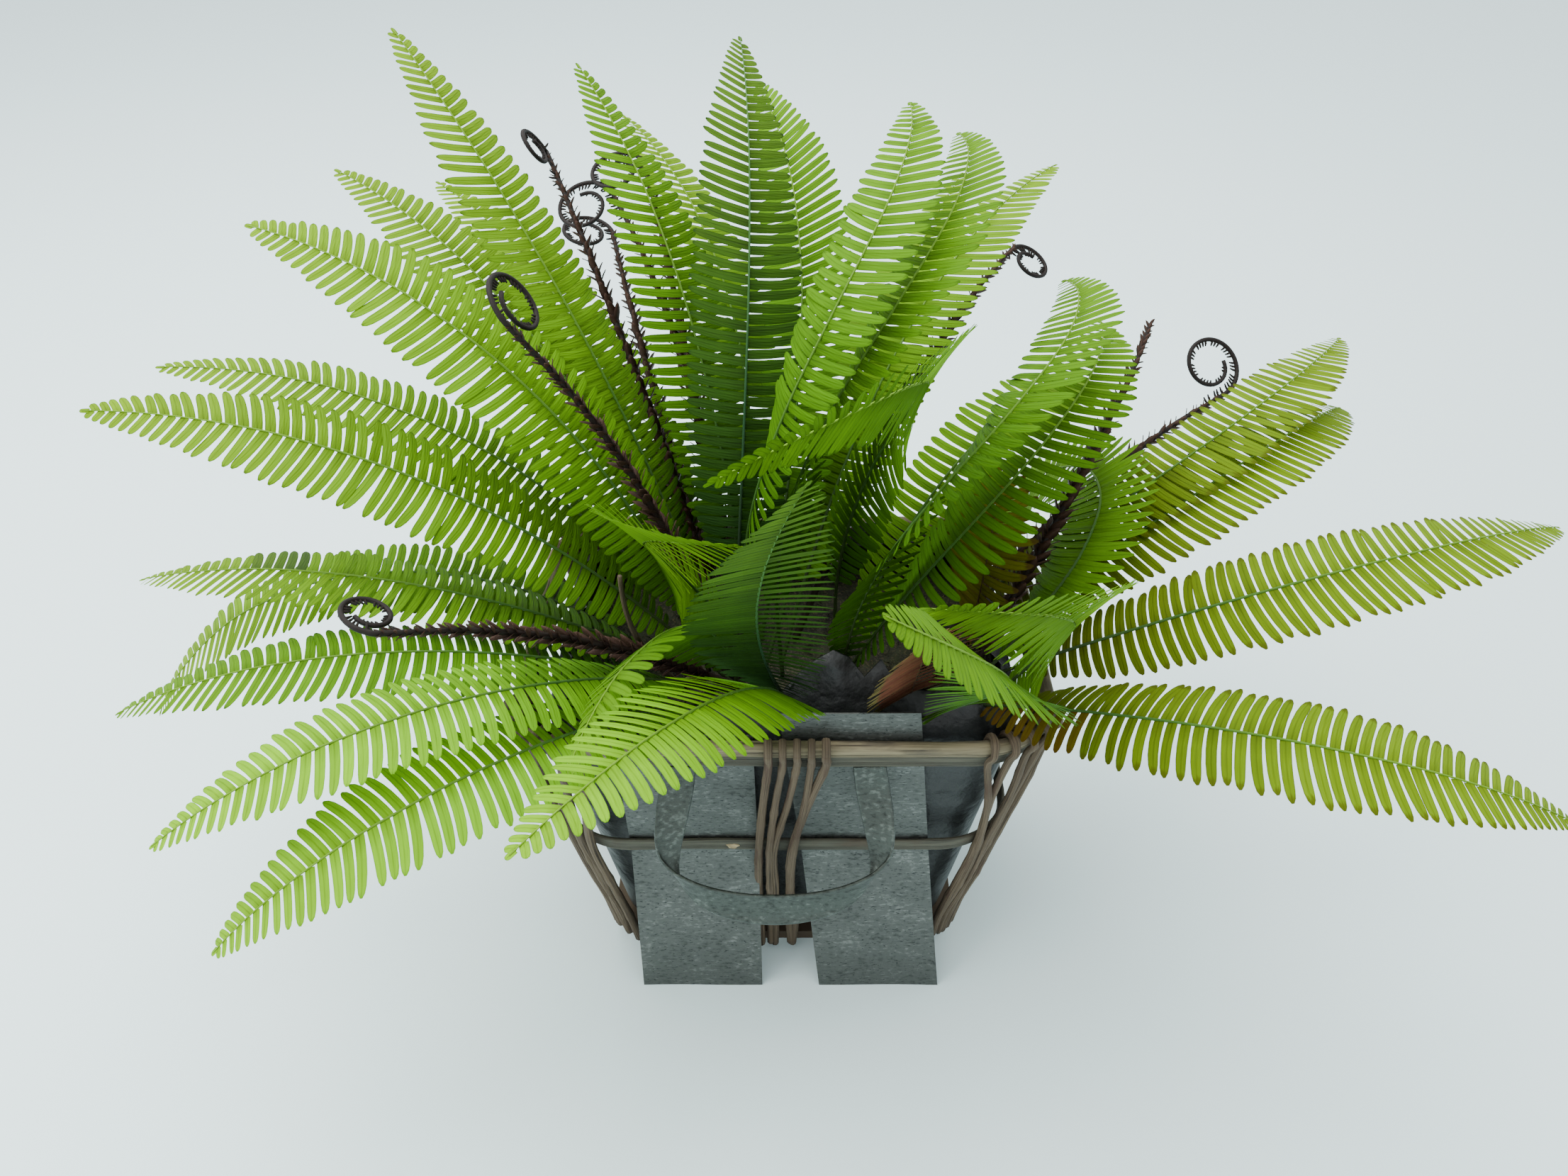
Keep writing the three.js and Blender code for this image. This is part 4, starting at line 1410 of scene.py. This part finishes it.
@dataclass
class FrameLine:
    """The basket's rounded outline, which widens evenly from the floor to the rim."""

    rim_height: float
    rim: tuple[float, float]
    foot: tuple[float, float]
    corner: float = 48 * MM
    rim_radius: float = 5 * MM
    board_inset: float = 6 * MM

    @classmethod
    def read(cls) -> "FrameLine":
        """Reads the outline from the CAD rim and base board.

        Returns:
            The outline.
        """
        _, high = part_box("rim_rod")
        height = middle_height("rim_rod")
        rim = (high[0] - cls.rim_radius, high[1] - cls.rim_radius)
        _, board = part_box("base_board")
        share = board[2] / height
        foot = tuple(
            (board[i] + cls.board_inset - rim[i] * share) / (1 - share) for i in range(2)
        )
        return cls(height, rim, foot)

    def half(self, z: float) -> tuple[float, float]:
        """Half width and half depth at a height."""
        share = z / self.rim_height
        return tuple(a + (b - a) * share for a, b in zip(self.foot, self.rim))

    def corner_point(self, signs: tuple[int, int], angle: float, z: float, out: float) -> Array:
        """A point in one corner.

        Args:
            signs: Which corner, as the signs of its X and Y.
            angle: How far round the corner: 0 faces along X and a right angle along Y.
            z: The height.
            out: How far outside the outline.

        Returns:
            The point.
        """
        wide, deep = self.half(z)
        reach = self.corner + out
        return np.array([
            signs[0] * (wide - self.corner + reach * math.cos(angle)),
            signs[1] * (deep - self.corner + reach * math.sin(angle)),
            z,
        ])

    def face_point(self, side: int, x: float, z: float, out: float) -> Array:
        """A point on the straight front (side -1) or back (side 1)."""
        return np.array([x, side * (self.half(z)[1] + out), z])

    def ring(self, z: float, out: float, per_corner: int = 12, per_side: int = 10) -> Array:
        """The whole outline at a height, moved out by a distance.

        Args:
            z: The height.
            out: How far outside the outline.
            per_corner: How many steps a corner takes.
            per_side: How many steps a straight side takes.

        Returns:
            The points, counter-clockwise from above.
        """
        corners = []
        for quarter, signs in enumerate([(1, 1), (-1, 1), (-1, -1), (1, -1)]):
            angles = np.linspace(0, math.pi / 2, per_corner + 1)
            if quarter % 2:
                angles = angles[::-1]
            corners.append([self.corner_point(signs, angle, z, out) for angle in angles])
        points = []
        for here, there in zip(corners, corners[1:] + corners[:1]):
            points += here
            points += [
                here[-1] + (there[0] - here[-1]) * step / per_side for step in range(1, per_side)
            ]
        return np.array(points)


@dataclass
class Hoop:
    """A band or rod that runs round the basket, with a section in (height, out) steps."""

    name: str
    node: str
    line: FrameLine
    height: float
    section: Array
    finish: WillowFinish
    slot: str
    wave: float = 0.35 * MM
    seam: float = 1 * MM

    def build(self) -> None:
        """Builds the hoop."""
        skin = Skin()
        stacks = [self.line.ring(self.height + rise, out) for rise, out in self.section]
        rings = np.stack(stacks, axis=1)
        far = lengths_along(rings[:, 0])
        turn = far / (far[-1] + self.seam) * 2 * math.pi
        lift = self.wave * (np.sin(5 * turn) + 0.6 * np.sin(11 * turn + 1.0))
        rings[..., 2] += lift[:, None]
        swell = 1 + 0.05 * np.sin(7 * turn + 2.0) + 0.04 * np.sin(19 * turn)
        centre = rings.mean(axis=1, keepdims=True)
        rings = centre + (rings - centre) * swell[:, None, None]
        lay = laid(rings, far[:, None], np.linspace(0, 1, len(self.section)), self.height)
        skin.add_loft(rings[:, ::-1], lay, closed=True)
        skin.piece(self.name, (self.finish,), self.slot, (self.node,))


def oval_section(tall: float, thick: float, out: float, power: float, count: int = 16) -> Array:
    """A rounded section of a band.

    Args:
        tall: Its height.
        thick: Its thickness.
        out: How far outside the outline its outer face stands.
        power: 1 for an oval, less for a boxier shape.
        count: How many points it has.

    Returns:
        Rows of (height, out).
    """
    angle = np.linspace(0, 2 * math.pi, count, endpoint=False)
    rise, reach = (
        np.sign(values) * np.abs(values) ** power for values in (np.sin(angle), np.cos(angle))
    )
    return np.stack([rise * tall / 2, reach * thick / 2 + out - thick / 2], axis=1)


class Level(Enum):
    """The parts of a rod at which its line is given."""

    RIM = "rim"
    MID = "between rim and waist"
    WAIST = "waist"
    LOW = "between waist and foot"
    FOOT = "foot"


@dataclass
class Rods:
    """Bundles of willow rods hooked over the rim, lying on both bands."""

    line: FrameLine
    radius: float = 3 * MM
    gap: float = 0.3 * MM
    band_proud: float = 1 * MM
    band_drop: float = 12 * MM
    waist: float = 137 * MM
    cut_height: float = 4 * MM
    cut_spread: float = 6 * MM
    radius_range: tuple[float, float] = (0.86, 1.08)
    hook_slack: float = 0.4 * MM
    inner_ends: tuple[float, float] = (20 * MM, 8 * MM)
    overlap: float = 1.4 * MM
    wander: float = 1.2 * MM
    knot_rise: float = 0.55 * MM
    knot_reach: float = 2.6 * MM
    face_rods: int = 5
    face_rim: tuple[float, float] = (-10 * MM, 9 * MM)
    face_waist: tuple[float, float] = (-13 * MM, 5.2 * MM)
    corner_rods: int = 6
    corner_rim: tuple[float, float] = (12.0, 84.0)
    corner_waist: tuple[float, float] = (34.0, 62.0)
    corner_foot: tuple[float, float] = (33.0, 60.0)

    def build(self) -> None:
        """Builds the two face bundles and the four corner bundles."""
        for name, side in (("front_rods", -1), ("back_rods", 1)):
            self._bundle(name, self.face_rods, partial(self._face_point, side), False)
        for name, signs in (
            ("front_left_rods", (-1, -1)), ("front_right_rods", (1, -1)),
            ("back_left_rods", (-1, 1)), ("back_right_rods", (1, 1)),
        ):
            self._bundle(name, self.corner_rods, partial(self._corner_point, signs), True)

    def _face_point(
        self, side: int, number: float, level: Level, z: float, out: float, aside: float = 0.0
    ) -> Array:
        """A point of a face rod.

        Args:
            side: -1 for the front, 1 for the back.
            number: The rod's place in its bundle, counted in rods.
            level: Which part of the rod the point is on.
            z: The height.
            out: How far outside the outline.
            aside: How far it is moved sideways.

        Returns:
            The point.
        """
        rim = self.face_rim[0] + number * self.face_rim[1]
        waist = self.face_waist[0] + number * self.face_waist[1]
        share = {Level.RIM: 0.0, Level.MID: 0.5}.get(level, 1.0)
        return self.line.face_point(side, rim + (waist - rim) * share + aside, z, out)

    def _corner_point(
        self, signs: tuple[int, int], number: float, level: Level, z: float, out: float,
        aside: float = 0.0,
    ) -> Array:
        """A point of a corner rod.

        Args:
            signs: Which corner, as the signs of its X and Y.
            number: The rod's place in its bundle, counted in rods.
            level: Which part of the rod the point is on.
            z: The height.
            out: How far outside the outline.
            aside: How far it is moved sideways.

        Returns:
            The point.
        """
        rim, waist, foot = self.corner_rim, self.corner_waist, self.corner_foot
        ends = {
            Level.RIM: (rim, rim), Level.MID: (rim, waist), Level.WAIST: (waist, waist),
            Level.LOW: (waist, foot), Level.FOOT: (foot, foot),
        }[level]
        first, last = ((a + b) / 2 for a, b in zip(*ends))
        share = number / (self.corner_rods - 1)
        angle = math.radians(first + (last - first) * share) + aside / self.line.corner
        return self.line.corner_point(signs, angle, z, out)

    def _bundle(
        self, name: str, count: int, place: Callable[..., Array], inside: bool
    ) -> None:
        """Builds one bundle.

        Args:
            name: The CAD node it stands for.
            count: How many rods it has.
            place: Gives a rod's points.
            inside: Whether the hooks have a short end inside the rim.
        """
        skin = Skin()
        rng = np.random.default_rng(seed_of(name))
        numbers = np.arange(count)
        landing = numbers + rng.normal(0, 0.75, count)
        for number in numbers:
            self._rod(skin, rng, float(number), float(landing[number]), place, inside)
        skin.piece(name + "_willow", (WILLOW,), "willow", (name,))

    def _rod(
        self, skin: Skin, rng: np.random.Generator, number: float, landing: float,
        place: Callable[..., Array], inside: bool,
    ) -> None:
        """Adds one rod with its hook, knots and cut end.

        Args:
            skin: The skin it goes on.
            rng: The bundle's random numbers.
            number: The rod's place at the rim, counted in rods.
            landing: Its place at the waist and the foot.
            place: Gives the rod's points.
            inside: Whether its hook has a short end inside the rim.
        """
        rim = self.line.rim_height
        radius = self.radius * rng.uniform(*self.radius_range)
        hook = self.line.rim_radius + self.gap + radius + self.hook_slack
        on_band = self.band_proud + self.gap + radius
        front = (number % 2) * self.overlap
        points = []
        if inside:
            points += [place(number, Level.RIM, rim - drop, -hook) for drop in self.inner_ends]
        start = 1.0 if inside else 0.5
        for turn in np.linspace(start * math.pi, 0, 9 if inside else 6):
            points.append(
                place(number, Level.RIM, rim + hook * math.sin(turn), hook * math.cos(turn))
            )
        aside = rng.normal(0, self.wander, 3)
        halfway = ((number + landing) / 2, Level.MID, (rim + self.waist) / 2)
        points += [
            place(number, Level.RIM, rim - self.band_drop, on_band + 1.6 * MM),
            place(*halfway, on_band + 1 * MM + front, aside[0]),
            place(landing, Level.WAIST, self.waist, on_band + 0.5 * MM + front),
            place(landing, Level.LOW, self.waist * 0.62, 3 * MM + front, aside[1]),
            place(landing, Level.LOW, self.waist * 0.3, 1.5 * MM, aside[2]),
            place(
                landing, Level.FOOT, self.cut_height + rng.uniform(0, self.cut_spread), 1.5 * MM
            ),
        ]
        line = smooth_curve(np.array(points), np.linspace(0, len(points) - 1, 90))
        far = lengths_along(line)
        radii = np.full(len(line), radius)
        for knot in np.arange(rng.uniform(0.02, 0.05), far[-1], rng.uniform(0.045, 0.075)):
            radii += self.knot_rise * np.exp(-(((far - knot) / self.knot_reach) ** 2))
        radii *= np.interp(far / far[-1], [0, 1], [0.9, 1.05])
        radii *= 1 + 0.03 * np.sin(far * 260 + number)
        Sweep(line, radii, 9, seed=float(rng.uniform())).onto(skin)


@dataclass
class Plate:
    """A bent zinc plate, a little dented, whose foot edge is creased."""

    node: str
    columns: int = 18
    rows: int = 60
    dent: float = 0.35 * MM
    crease_height: float = 7 * MM
    crease_width: float = 1.6 * MM

    def build(self) -> None:
        """Builds the plate over its CAD sheet."""
        rings = cad_rings(self.node, lambda point: point[2])
        side = 1 if rings[0, :, 1].mean() > 0 else -1
        corners = []
        for ring in rings:
            ordered = ring[np.argsort(ring[:, 0])]
            left, right = (
                pair[np.argsort(-side * pair[:, 1])] for pair in (ordered[:2], ordered[2:])
            )
            corners.append([left[0], right[0], right[1], left[1]])
        lines = np.array(corners)
        heights = lines[:, 0, 2]
        at = np.linspace(heights[0], heights[-1], self.rows)
        edges = np.stack([read_at(at, heights, lines[:, k]) for k in range(4)], axis=1)
        across = np.linspace(0, 1, self.columns)[None, :, None]
        outer = edges[:, None, 0] * (1 - across) + edges[:, None, 1] * across
        inner = edges[:, None, 3] * (1 - across) + edges[:, None, 2] * across
        x, z = outer[..., 0], outer[..., 2]
        bow = np.sin(x * 61 + z * 23) * np.sin(z * 47 + x * 13)
        crease = np.exp(-(((z - self.crease_height) / self.crease_width) ** 2)) * 0.8
        move = side * self.dent * (bow - 1 - crease)
        for sheet in (outer, inner):
            sheet[..., 1] += move
        rings = np.concatenate([outer, inner[:, ::-1]], axis=1)
        if side > 0:
            rings = rings[:, ::-1]
        skin = Skin()
        skin.add_loft(rings)
        crisp(skin.piece(self.node + "_sheet", (ZINC,), "zinc", (self.node,)))


def crisp(piece: Piece, degrees: float = 40.0) -> None:
    """Marks the edges of a smooth piece that are sharper than an angle.

    Args:
        piece: The piece.
        degrees: The angle from which an edge is sharp.
    """
    mesh = piece.data
    sharp = mesh.attributes.new("sharp_edge", "BOOLEAN", "EDGE")
    around: dict[tuple[int, int], list[Vector]] = {}
    for face in mesh.polygons:
        for pair in face.edge_keys:
            around.setdefault(pair, []).append(face.normal)
    limit = math.radians(degrees)
    flags = []
    for edge in mesh.edges:
        normals = around.get(tuple(sorted(edge.vertices)), [])
        flags.append(len(normals) == 2 and normals[0].angle(normals[1], 0.0) > limit)
    sharp.data.foreach_set("value", flags)


@dataclass
class StrapHandle:
    """A limp zinc strap with a rolled bead along each edge."""

    node: str
    bead: float = 1.25 * MM
    thickness: float = 1.1 * MM
    groove: float = 0.35 * MM

    def build(self) -> None:
        """Builds the handle over its CAD strap."""
        rings = cad_rings(self.node, lambda point: -point[2] + (point[0] < 0))
        outer, inner, lift = self._edges(rings)
        at = np.linspace(0, len(rings) - 1, 120)
        outer, inner = smooth_curve(outer, at), smooth_curve(inner, at)
        across = inner - outer
        width = np.linalg.norm(across, axis=1, keepdims=True)
        across = across / width
        lift = smooth_curve(lift, at)
        lift = unit(lift - across * (lift * across).sum(1, keepdims=True))
        section = self._section(float(width.mean()))
        rings = (
            outer[:, None]
            + across[:, None] * section[None, :, :1] * (width / width.mean())[:, None]
            + lift[:, None] * section[None, :, 1:]
        )
        along = swing(outer)
        if np.cross(across[0], lift[0]) @ along[0] < 0:
            rings = rings[:, ::-1]
        skin = Skin()
        skin.add_loft(rings)
        skin.piece(self.node + "_strap", (STRAP,), "strap_zinc", (self.node,))

    def _edges(self, rings: Array) -> tuple[Array, Array, Array]:
        """Follows the strap's edges from ring to ring.

        Args:
            rings: The CAD rings.

        Returns:
            Its outer edge, its inner edge and the direction out of its face.
        """
        outer, inner, lifts = [], [], []
        last: Optional[Array] = None
        face: Optional[Array] = None
        for ring in rings:
            partner = int(np.argsort(np.linalg.norm(ring - ring[0], axis=1))[1])
            pair = ring[[0, partner]]
            others = np.delete(ring, [0, partner], axis=0)
            a, b = pair.mean(axis=0), others.mean(axis=0)
            if last is None:
                swap = abs(a[0]) < abs(b[0])
            else:
                swap = np.linalg.norm(a - last) > np.linalg.norm(b - last)
            if swap:
                a, b, pair = b, a, others
            lift = unit(pair[1] - pair[0])
            if face is not None and lift @ face < 0:
                lift = -lift
            outer.append(a)
            inner.append(b)
            lifts.append(lift)
            last, face = a, lift
        return np.array(outer), np.array(inner), np.array(lifts)

    def _section(self, width: float) -> Array:
        """Draws the strap's section.

        Args:
            width: The strap's width.

        Returns:
            Rows of (across, out of the face).
        """
        half = self.thickness / 2
        turn = np.linspace(-0.75 * math.pi, 0.75 * math.pi, 7)
        right = np.stack(
            [width - self.bead + self.bead * np.cos(turn), self.bead * np.sin(turn)], axis=1
        )
        left = np.stack(
            [self.bead - self.bead * np.cos(turn), -self.bead * np.sin(turn)], axis=1
        )
        flat = width * np.array([0.8, 0.74, 0.5, 0.26, 0.2])
        dip = np.array([0.0, self.groove, 0.0, self.groove, 0.0])
        top = np.stack([flat, half - dip], axis=1)
        bottom = np.stack([flat[::-1], dip - half], axis=1)
        return np.concatenate([right, top, left, bottom])


@dataclass
class Pot:
    """The black liner with its crumpled film collar, and the mossy foam in it."""

    line: FrameLine
    inset: float = 14 * MM
    wall: float = 2 * MM
    collar: float = 9 * MM
    front_collar: float = 46 * MM
    lump: float = 2.2 * MM
    strands: int = 420
    strand_margin: float = 24 * MM
    moss_seed: int = 31

    def build(self) -> None:
        """Builds the liner and the moss."""
        low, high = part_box("liner_pot")
        self._liner(low[2], high[2])
        foam_low, foam_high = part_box("foam_block")
        self._moss(foam_low[2], foam_high[2])

    def _liner(self, foot: float, top: float) -> None:
        """Builds the pot's wall, its collar and its floor.

        Args:
            foot: The height of its underside.
            top: The height at which its collar starts.
        """
        levels = [(foot, -self.inset - 6 * MM, 0.0), (foot + 5 * MM, -self.inset, 0.0)]
        levels += [(foot + (top - foot) * share, -self.inset, 0.0) for share in (0.3, 0.6, 0.9)]
        levels += [(top, -self.inset - 2 * MM, share) for share in (0.0, 0.2, 0.4, 0.6, 0.8, 1.0)]
        outside = []
        for z, out, rise in levels:
            ring = self.line.ring(z, out, 16, 24)
            outside.append(self._crumpled(ring, rise))
        inside = [ring + self._inward(ring) * self.wall * 0.5 for ring in outside[::-1]]
        skin = Skin()
        rings = np.stack(outside + inside)
        rings[len(outside):, :, 2] += 0.3 * MM
        skin.add_loft(rings)
        skin.piece("liner_film", (FILM,), "liner_plastic", ("liner_pot",))

    @staticmethod
    def _inward(ring: Array) -> Array:
        """The level direction to the inside at each point of a ring."""
        return unit(np.cross([0.0, 0.0, 1.0], swing(ring, True)))

    def _crumpled(self, ring: Array, rise: float) -> Array:
        """Lifts and creases a ring of the collar.

        Args:
            ring: The ring.
            rise: How far up the collar it is, from 0 to 1.

        Returns:
            The moved ring.
        """
        if rise == 0:
            return ring
        x, y = ring[:, 0], ring[:, 1]
        in_front = np.exp(-(((x - 45 * MM) / (62 * MM)) ** 2)) * (y < -60 * MM)
        height = self.collar + (self.front_collar - self.collar) * in_front
        angle = np.arctan2(y, x)
        ragged = 1 + 0.22 * np.sin(9 * angle + 1) + 0.14 * np.sin(23 * angle)
        ragged += 0.1 * np.sin(41 * angle)
        fold = 3.2 * MM * rise * (np.sin(31 * angle + 2 * rise) + 0.7 * np.sin(53 * angle - rise))
        lean = (6 * MM + 0.35 * height) * rise
        moved = ring + self._inward(ring) * (lean + fold)[:, None]
        moved[:, 2] += height * ragged * rise
        return moved

    def _moss(self, foot: float, top: float) -> None:
        """Builds the lumpy top of the foam and the dry strands scattered on it.

        Args:
            foot: The height of the foam's underside.
            top: The height of its top.
        """
        rng = np.random.default_rng(self.moss_seed)
        skin = Skin()
        edge = -self.inset - self.wall - 0.5 * MM
        shares = np.concatenate([[1.0, 1.0], np.linspace(0.985, 0.0, 30)])
        rings = []
        for number, share in enumerate(shares):
            z = foot if number == 0 else top - 3 * MM
            ring = self.line.ring(z if number < 2 else top, edge, 16, 24)
            ring[:, :2] *= share
            if number >= 2:
                x, y = ring[:, 0], ring[:, 1]
                lumps = (
                    np.sin(x * 190 + 3 * np.sin(y * 83)) * np.sin(y * 170 + 2 * np.sin(x * 71))
                    + 0.5 * np.sin(x * 430 + 1) * np.sin(y * 390 + 2)
                )
                ring[:, 2] += self.lump * lumps
            rings.append(ring)
        rings = np.stack(rings)
        skin.add_loft(rings)
        wide, deep = (value - self.strand_margin for value in self.line.half(top))
        for _ in range(self.strands):
            x, y = rng.uniform(-wide, wide), rng.uniform(-deep, deep)
            points = np.array([[x, y, top - 1 * MM]])
            move = unit(np.array([*rng.normal(0, 1, 2), 0.9]))
            for _ in range(5):
                move = unit(move + rng.normal(0, 0.5, 3) - np.array([0, 0, 0.28]))
                points = np.concatenate([points, points[-1:] + move * rng.uniform(2, 4.5) * MM])
            points[:, 2] = np.maximum(points[:, 2], top)
            Sweep(points, np.linspace(0.55, 0.2, 6) * MM, 4, first=(0.1, 0.2, 0.9)).onto(skin)
        skin.piece("mossy_foam", (MOSS,), "foam", ("foam_block",))


# ---------------------------------------------------------------- the bunch, the basket, the stage


@dataclass
class Bunch:
    """All the fronds and shoots, standing in the foam."""

    lift: float = 2.5 * MM
    neck_ring: int = 6
    straight_rings: int = 12

    def build(self) -> None:
        """Builds every frond and shoot."""
        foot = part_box("foam_block")[1][2] + self.lift
        for node in sorted(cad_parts):
            if node.startswith("frond_"):
                Frond(node, foot, FROND_LOOKS.get(node, FrondLook())).build()
            elif node.startswith("crosier_"):
                line = cad_rings(node, nearest_axis(foot)).mean(axis=1)
                far = lengths_along(line)
                is_coiled = len(line) > self.straight_rings
                neck = far[self.neck_ring] / far[-1] if is_coiled else 1.0
                Crosier(node + "_shoot", line, neck, node).build()
        for shoot in GROWN_SHOOTS:
            shoot.build(foot)
        self._stub(foot)

    def _stub(self, foot: float) -> None:
        """Builds the short bare stick that leans out at the left.

        Args:
            foot: The height at which it is cut.
        """
        line = grown_line(-69 * MM, -36 * MM, foot, 204, 72, 58, -23, 142 * MM)
        skin = Skin()
        Sweep(line, np.linspace(2.6, 1.5, len(line)) * MM, 8, seed=0.3).onto(skin)
        skin.piece("bare_stick", (WILLOW,), "willow")


@dataclass
class Basket:
    """The willow and zinc basket."""

    line: FrameLine
    band_height: float = 12 * MM
    band_thickness: float = 3.5 * MM

    def build(self) -> None:
        """Builds the rim, bands, rods, plates, handles, pot and board."""
        rim = oval_section(11 * MM, 9.6 * MM, 4.8 * MM, 0.82)
        Hoop("rim_willow", "rim_rod", self.line, self.line.rim_height, rim, RIM_WILLOW,
             "rim_willow").build()
        flat = oval_section(self.band_height, self.band_thickness, 1 * MM, 0.55)
        for node in ("rim_band", "waist_band"):
            Hoop(node + "_willow", node, self.line, middle_height(node), flat, BAND_WILLOW,
                 "willow").build()
        self._knot()
        Rods(self.line).build()
        for face in ("front", "back"):
            for side in ("left", "right"):
                Plate(f"{face}_{side}_plate").build()
        for node in ("front_handle", "back_handle"):
            StrapHandle(node).build()
        Pot(self.line).build()
        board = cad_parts["base_board"]
        board.data.materials.clear()
        board.data.materials.append(PALETTE(BOARD))

    def _knot(self) -> None:
        """Builds the pale knot on the front of the waist band."""
        height = middle_height("waist_band")
        front = self.line.half(height)[1] + 1 * MM
        angle = np.linspace(0, 2 * math.pi, 14, endpoint=False)
        ragged = 1 + 0.18 * np.sin(3 * angle) + 0.12 * np.sin(5 * angle + 1)
        rings = []
        for share, out in ((1.0, -0.6), (1.0, 0.3), (0.7, 0.7), (0.2, 0.75)):
            rings.append(np.stack([
                -35 * MM + 4.2 * MM * share * ragged * np.cos(angle),
                np.full(len(angle), -(front + out * MM)),
                height + 2.4 * MM * share * ragged * np.sin(angle),
            ], axis=1))
        rings = np.stack(rings)
        skin = Skin()
        skin.add_loft(rings, rings * 8)
        skin.piece("waist_band_knot", (KNOT,), "willow")


@dataclass(frozen=True)
class SoftLight:
    """A large round lamp: its place and width in metres, its power in watts."""

    name: str
    place: Triple
    width: float
    power: float
    tint: Colour = (1.0, 0.99, 0.97)
    aim: Triple = (0.0, 0.0, 0.2)

    def build(self) -> None:
        """Builds the lamp, turned to face the bunch."""
        lamp = bpy.data.lights.new(self.name, "AREA")
        lamp.shape = "DISK"
        lamp.size = self.width
        lamp.energy = self.power
        lamp.color = self.tint
        made = bpy.data.objects.new(self.name, lamp)
        made.location = self.place
        towards = Vector(self.aim) - Vector(self.place)
        made.rotation_euler = towards.to_track_quat("-Z", "Y").to_euler()
        bpy.context.scene.collection.objects.link(made)


@dataclass
class Stage:
    """The plain pale ground, the soft light and the camera."""

    lights: tuple[SoftLight, ...] = (
        SoftLight("soft_top", (-0.5, 0.5, 2.3), 2.6, 94.0),
        SoftLight("soft_left", (-2.0, -1.0, 1.8), 1.8, 45.0),
    )
    camera_place: Triple = (0.0, -0.666, 0.7965)
    camera_pitch: float = 38.0
    lens: float = 28.29
    ground_size: float = 6.0
    sky: Colour = (0.93, 0.98, 1.0)
    sky_strength: float = 1.56

    def build(self) -> None:
        """Builds the ground, the lights and the camera."""
        half = self.ground_size
        mesh = bpy.data.meshes.new("ground")
        corners = [(-half, -half, 0), (half, -half, 0), (half, half, 0), (-half, half, 0)]
        mesh.from_pydata(corners, [], [(0, 1, 2, 3)])
        mesh.materials.append(PALETTE(GROUND))
        ground = bpy.data.objects.new("ground", mesh)
        bpy.context.scene.collection.objects.link(ground)
        for light in self.lights:
            light.build()
        self._sky()
        self._camera()

    def _sky(self) -> None:
        """Sets an even sky."""
        world = bpy.data.worlds.new("soft_sky")
        world.use_nodes = True
        background = world.node_tree.nodes["Background"]
        background.inputs["Color"].default_value = (*self.sky, 1.0)
        background.inputs["Strength"].default_value = self.sky_strength
        bpy.context.scene.world = world

    def _camera(self) -> None:
        """Sets the camera, which looks along +Y and down."""
        lens = bpy.data.cameras.new("camera")
        lens.sensor_width = 36.0
        lens.lens = self.lens
        made = bpy.data.objects.new("camera", lens)
        made.location = self.camera_place
        made.rotation_euler = (math.radians(90.0 - self.camera_pitch), 0.0, 0.0)
        bpy.context.scene.collection.objects.link(made)
        bpy.context.scene.camera = made


def main() -> None:
    """Builds everything."""
    logging.basicConfig(level=logging.INFO, format="%(message)s")
    Stage().build()
    Basket(FrameLine.read()).build()
    Bunch().build()


if __name__ == "__main__":
    main()
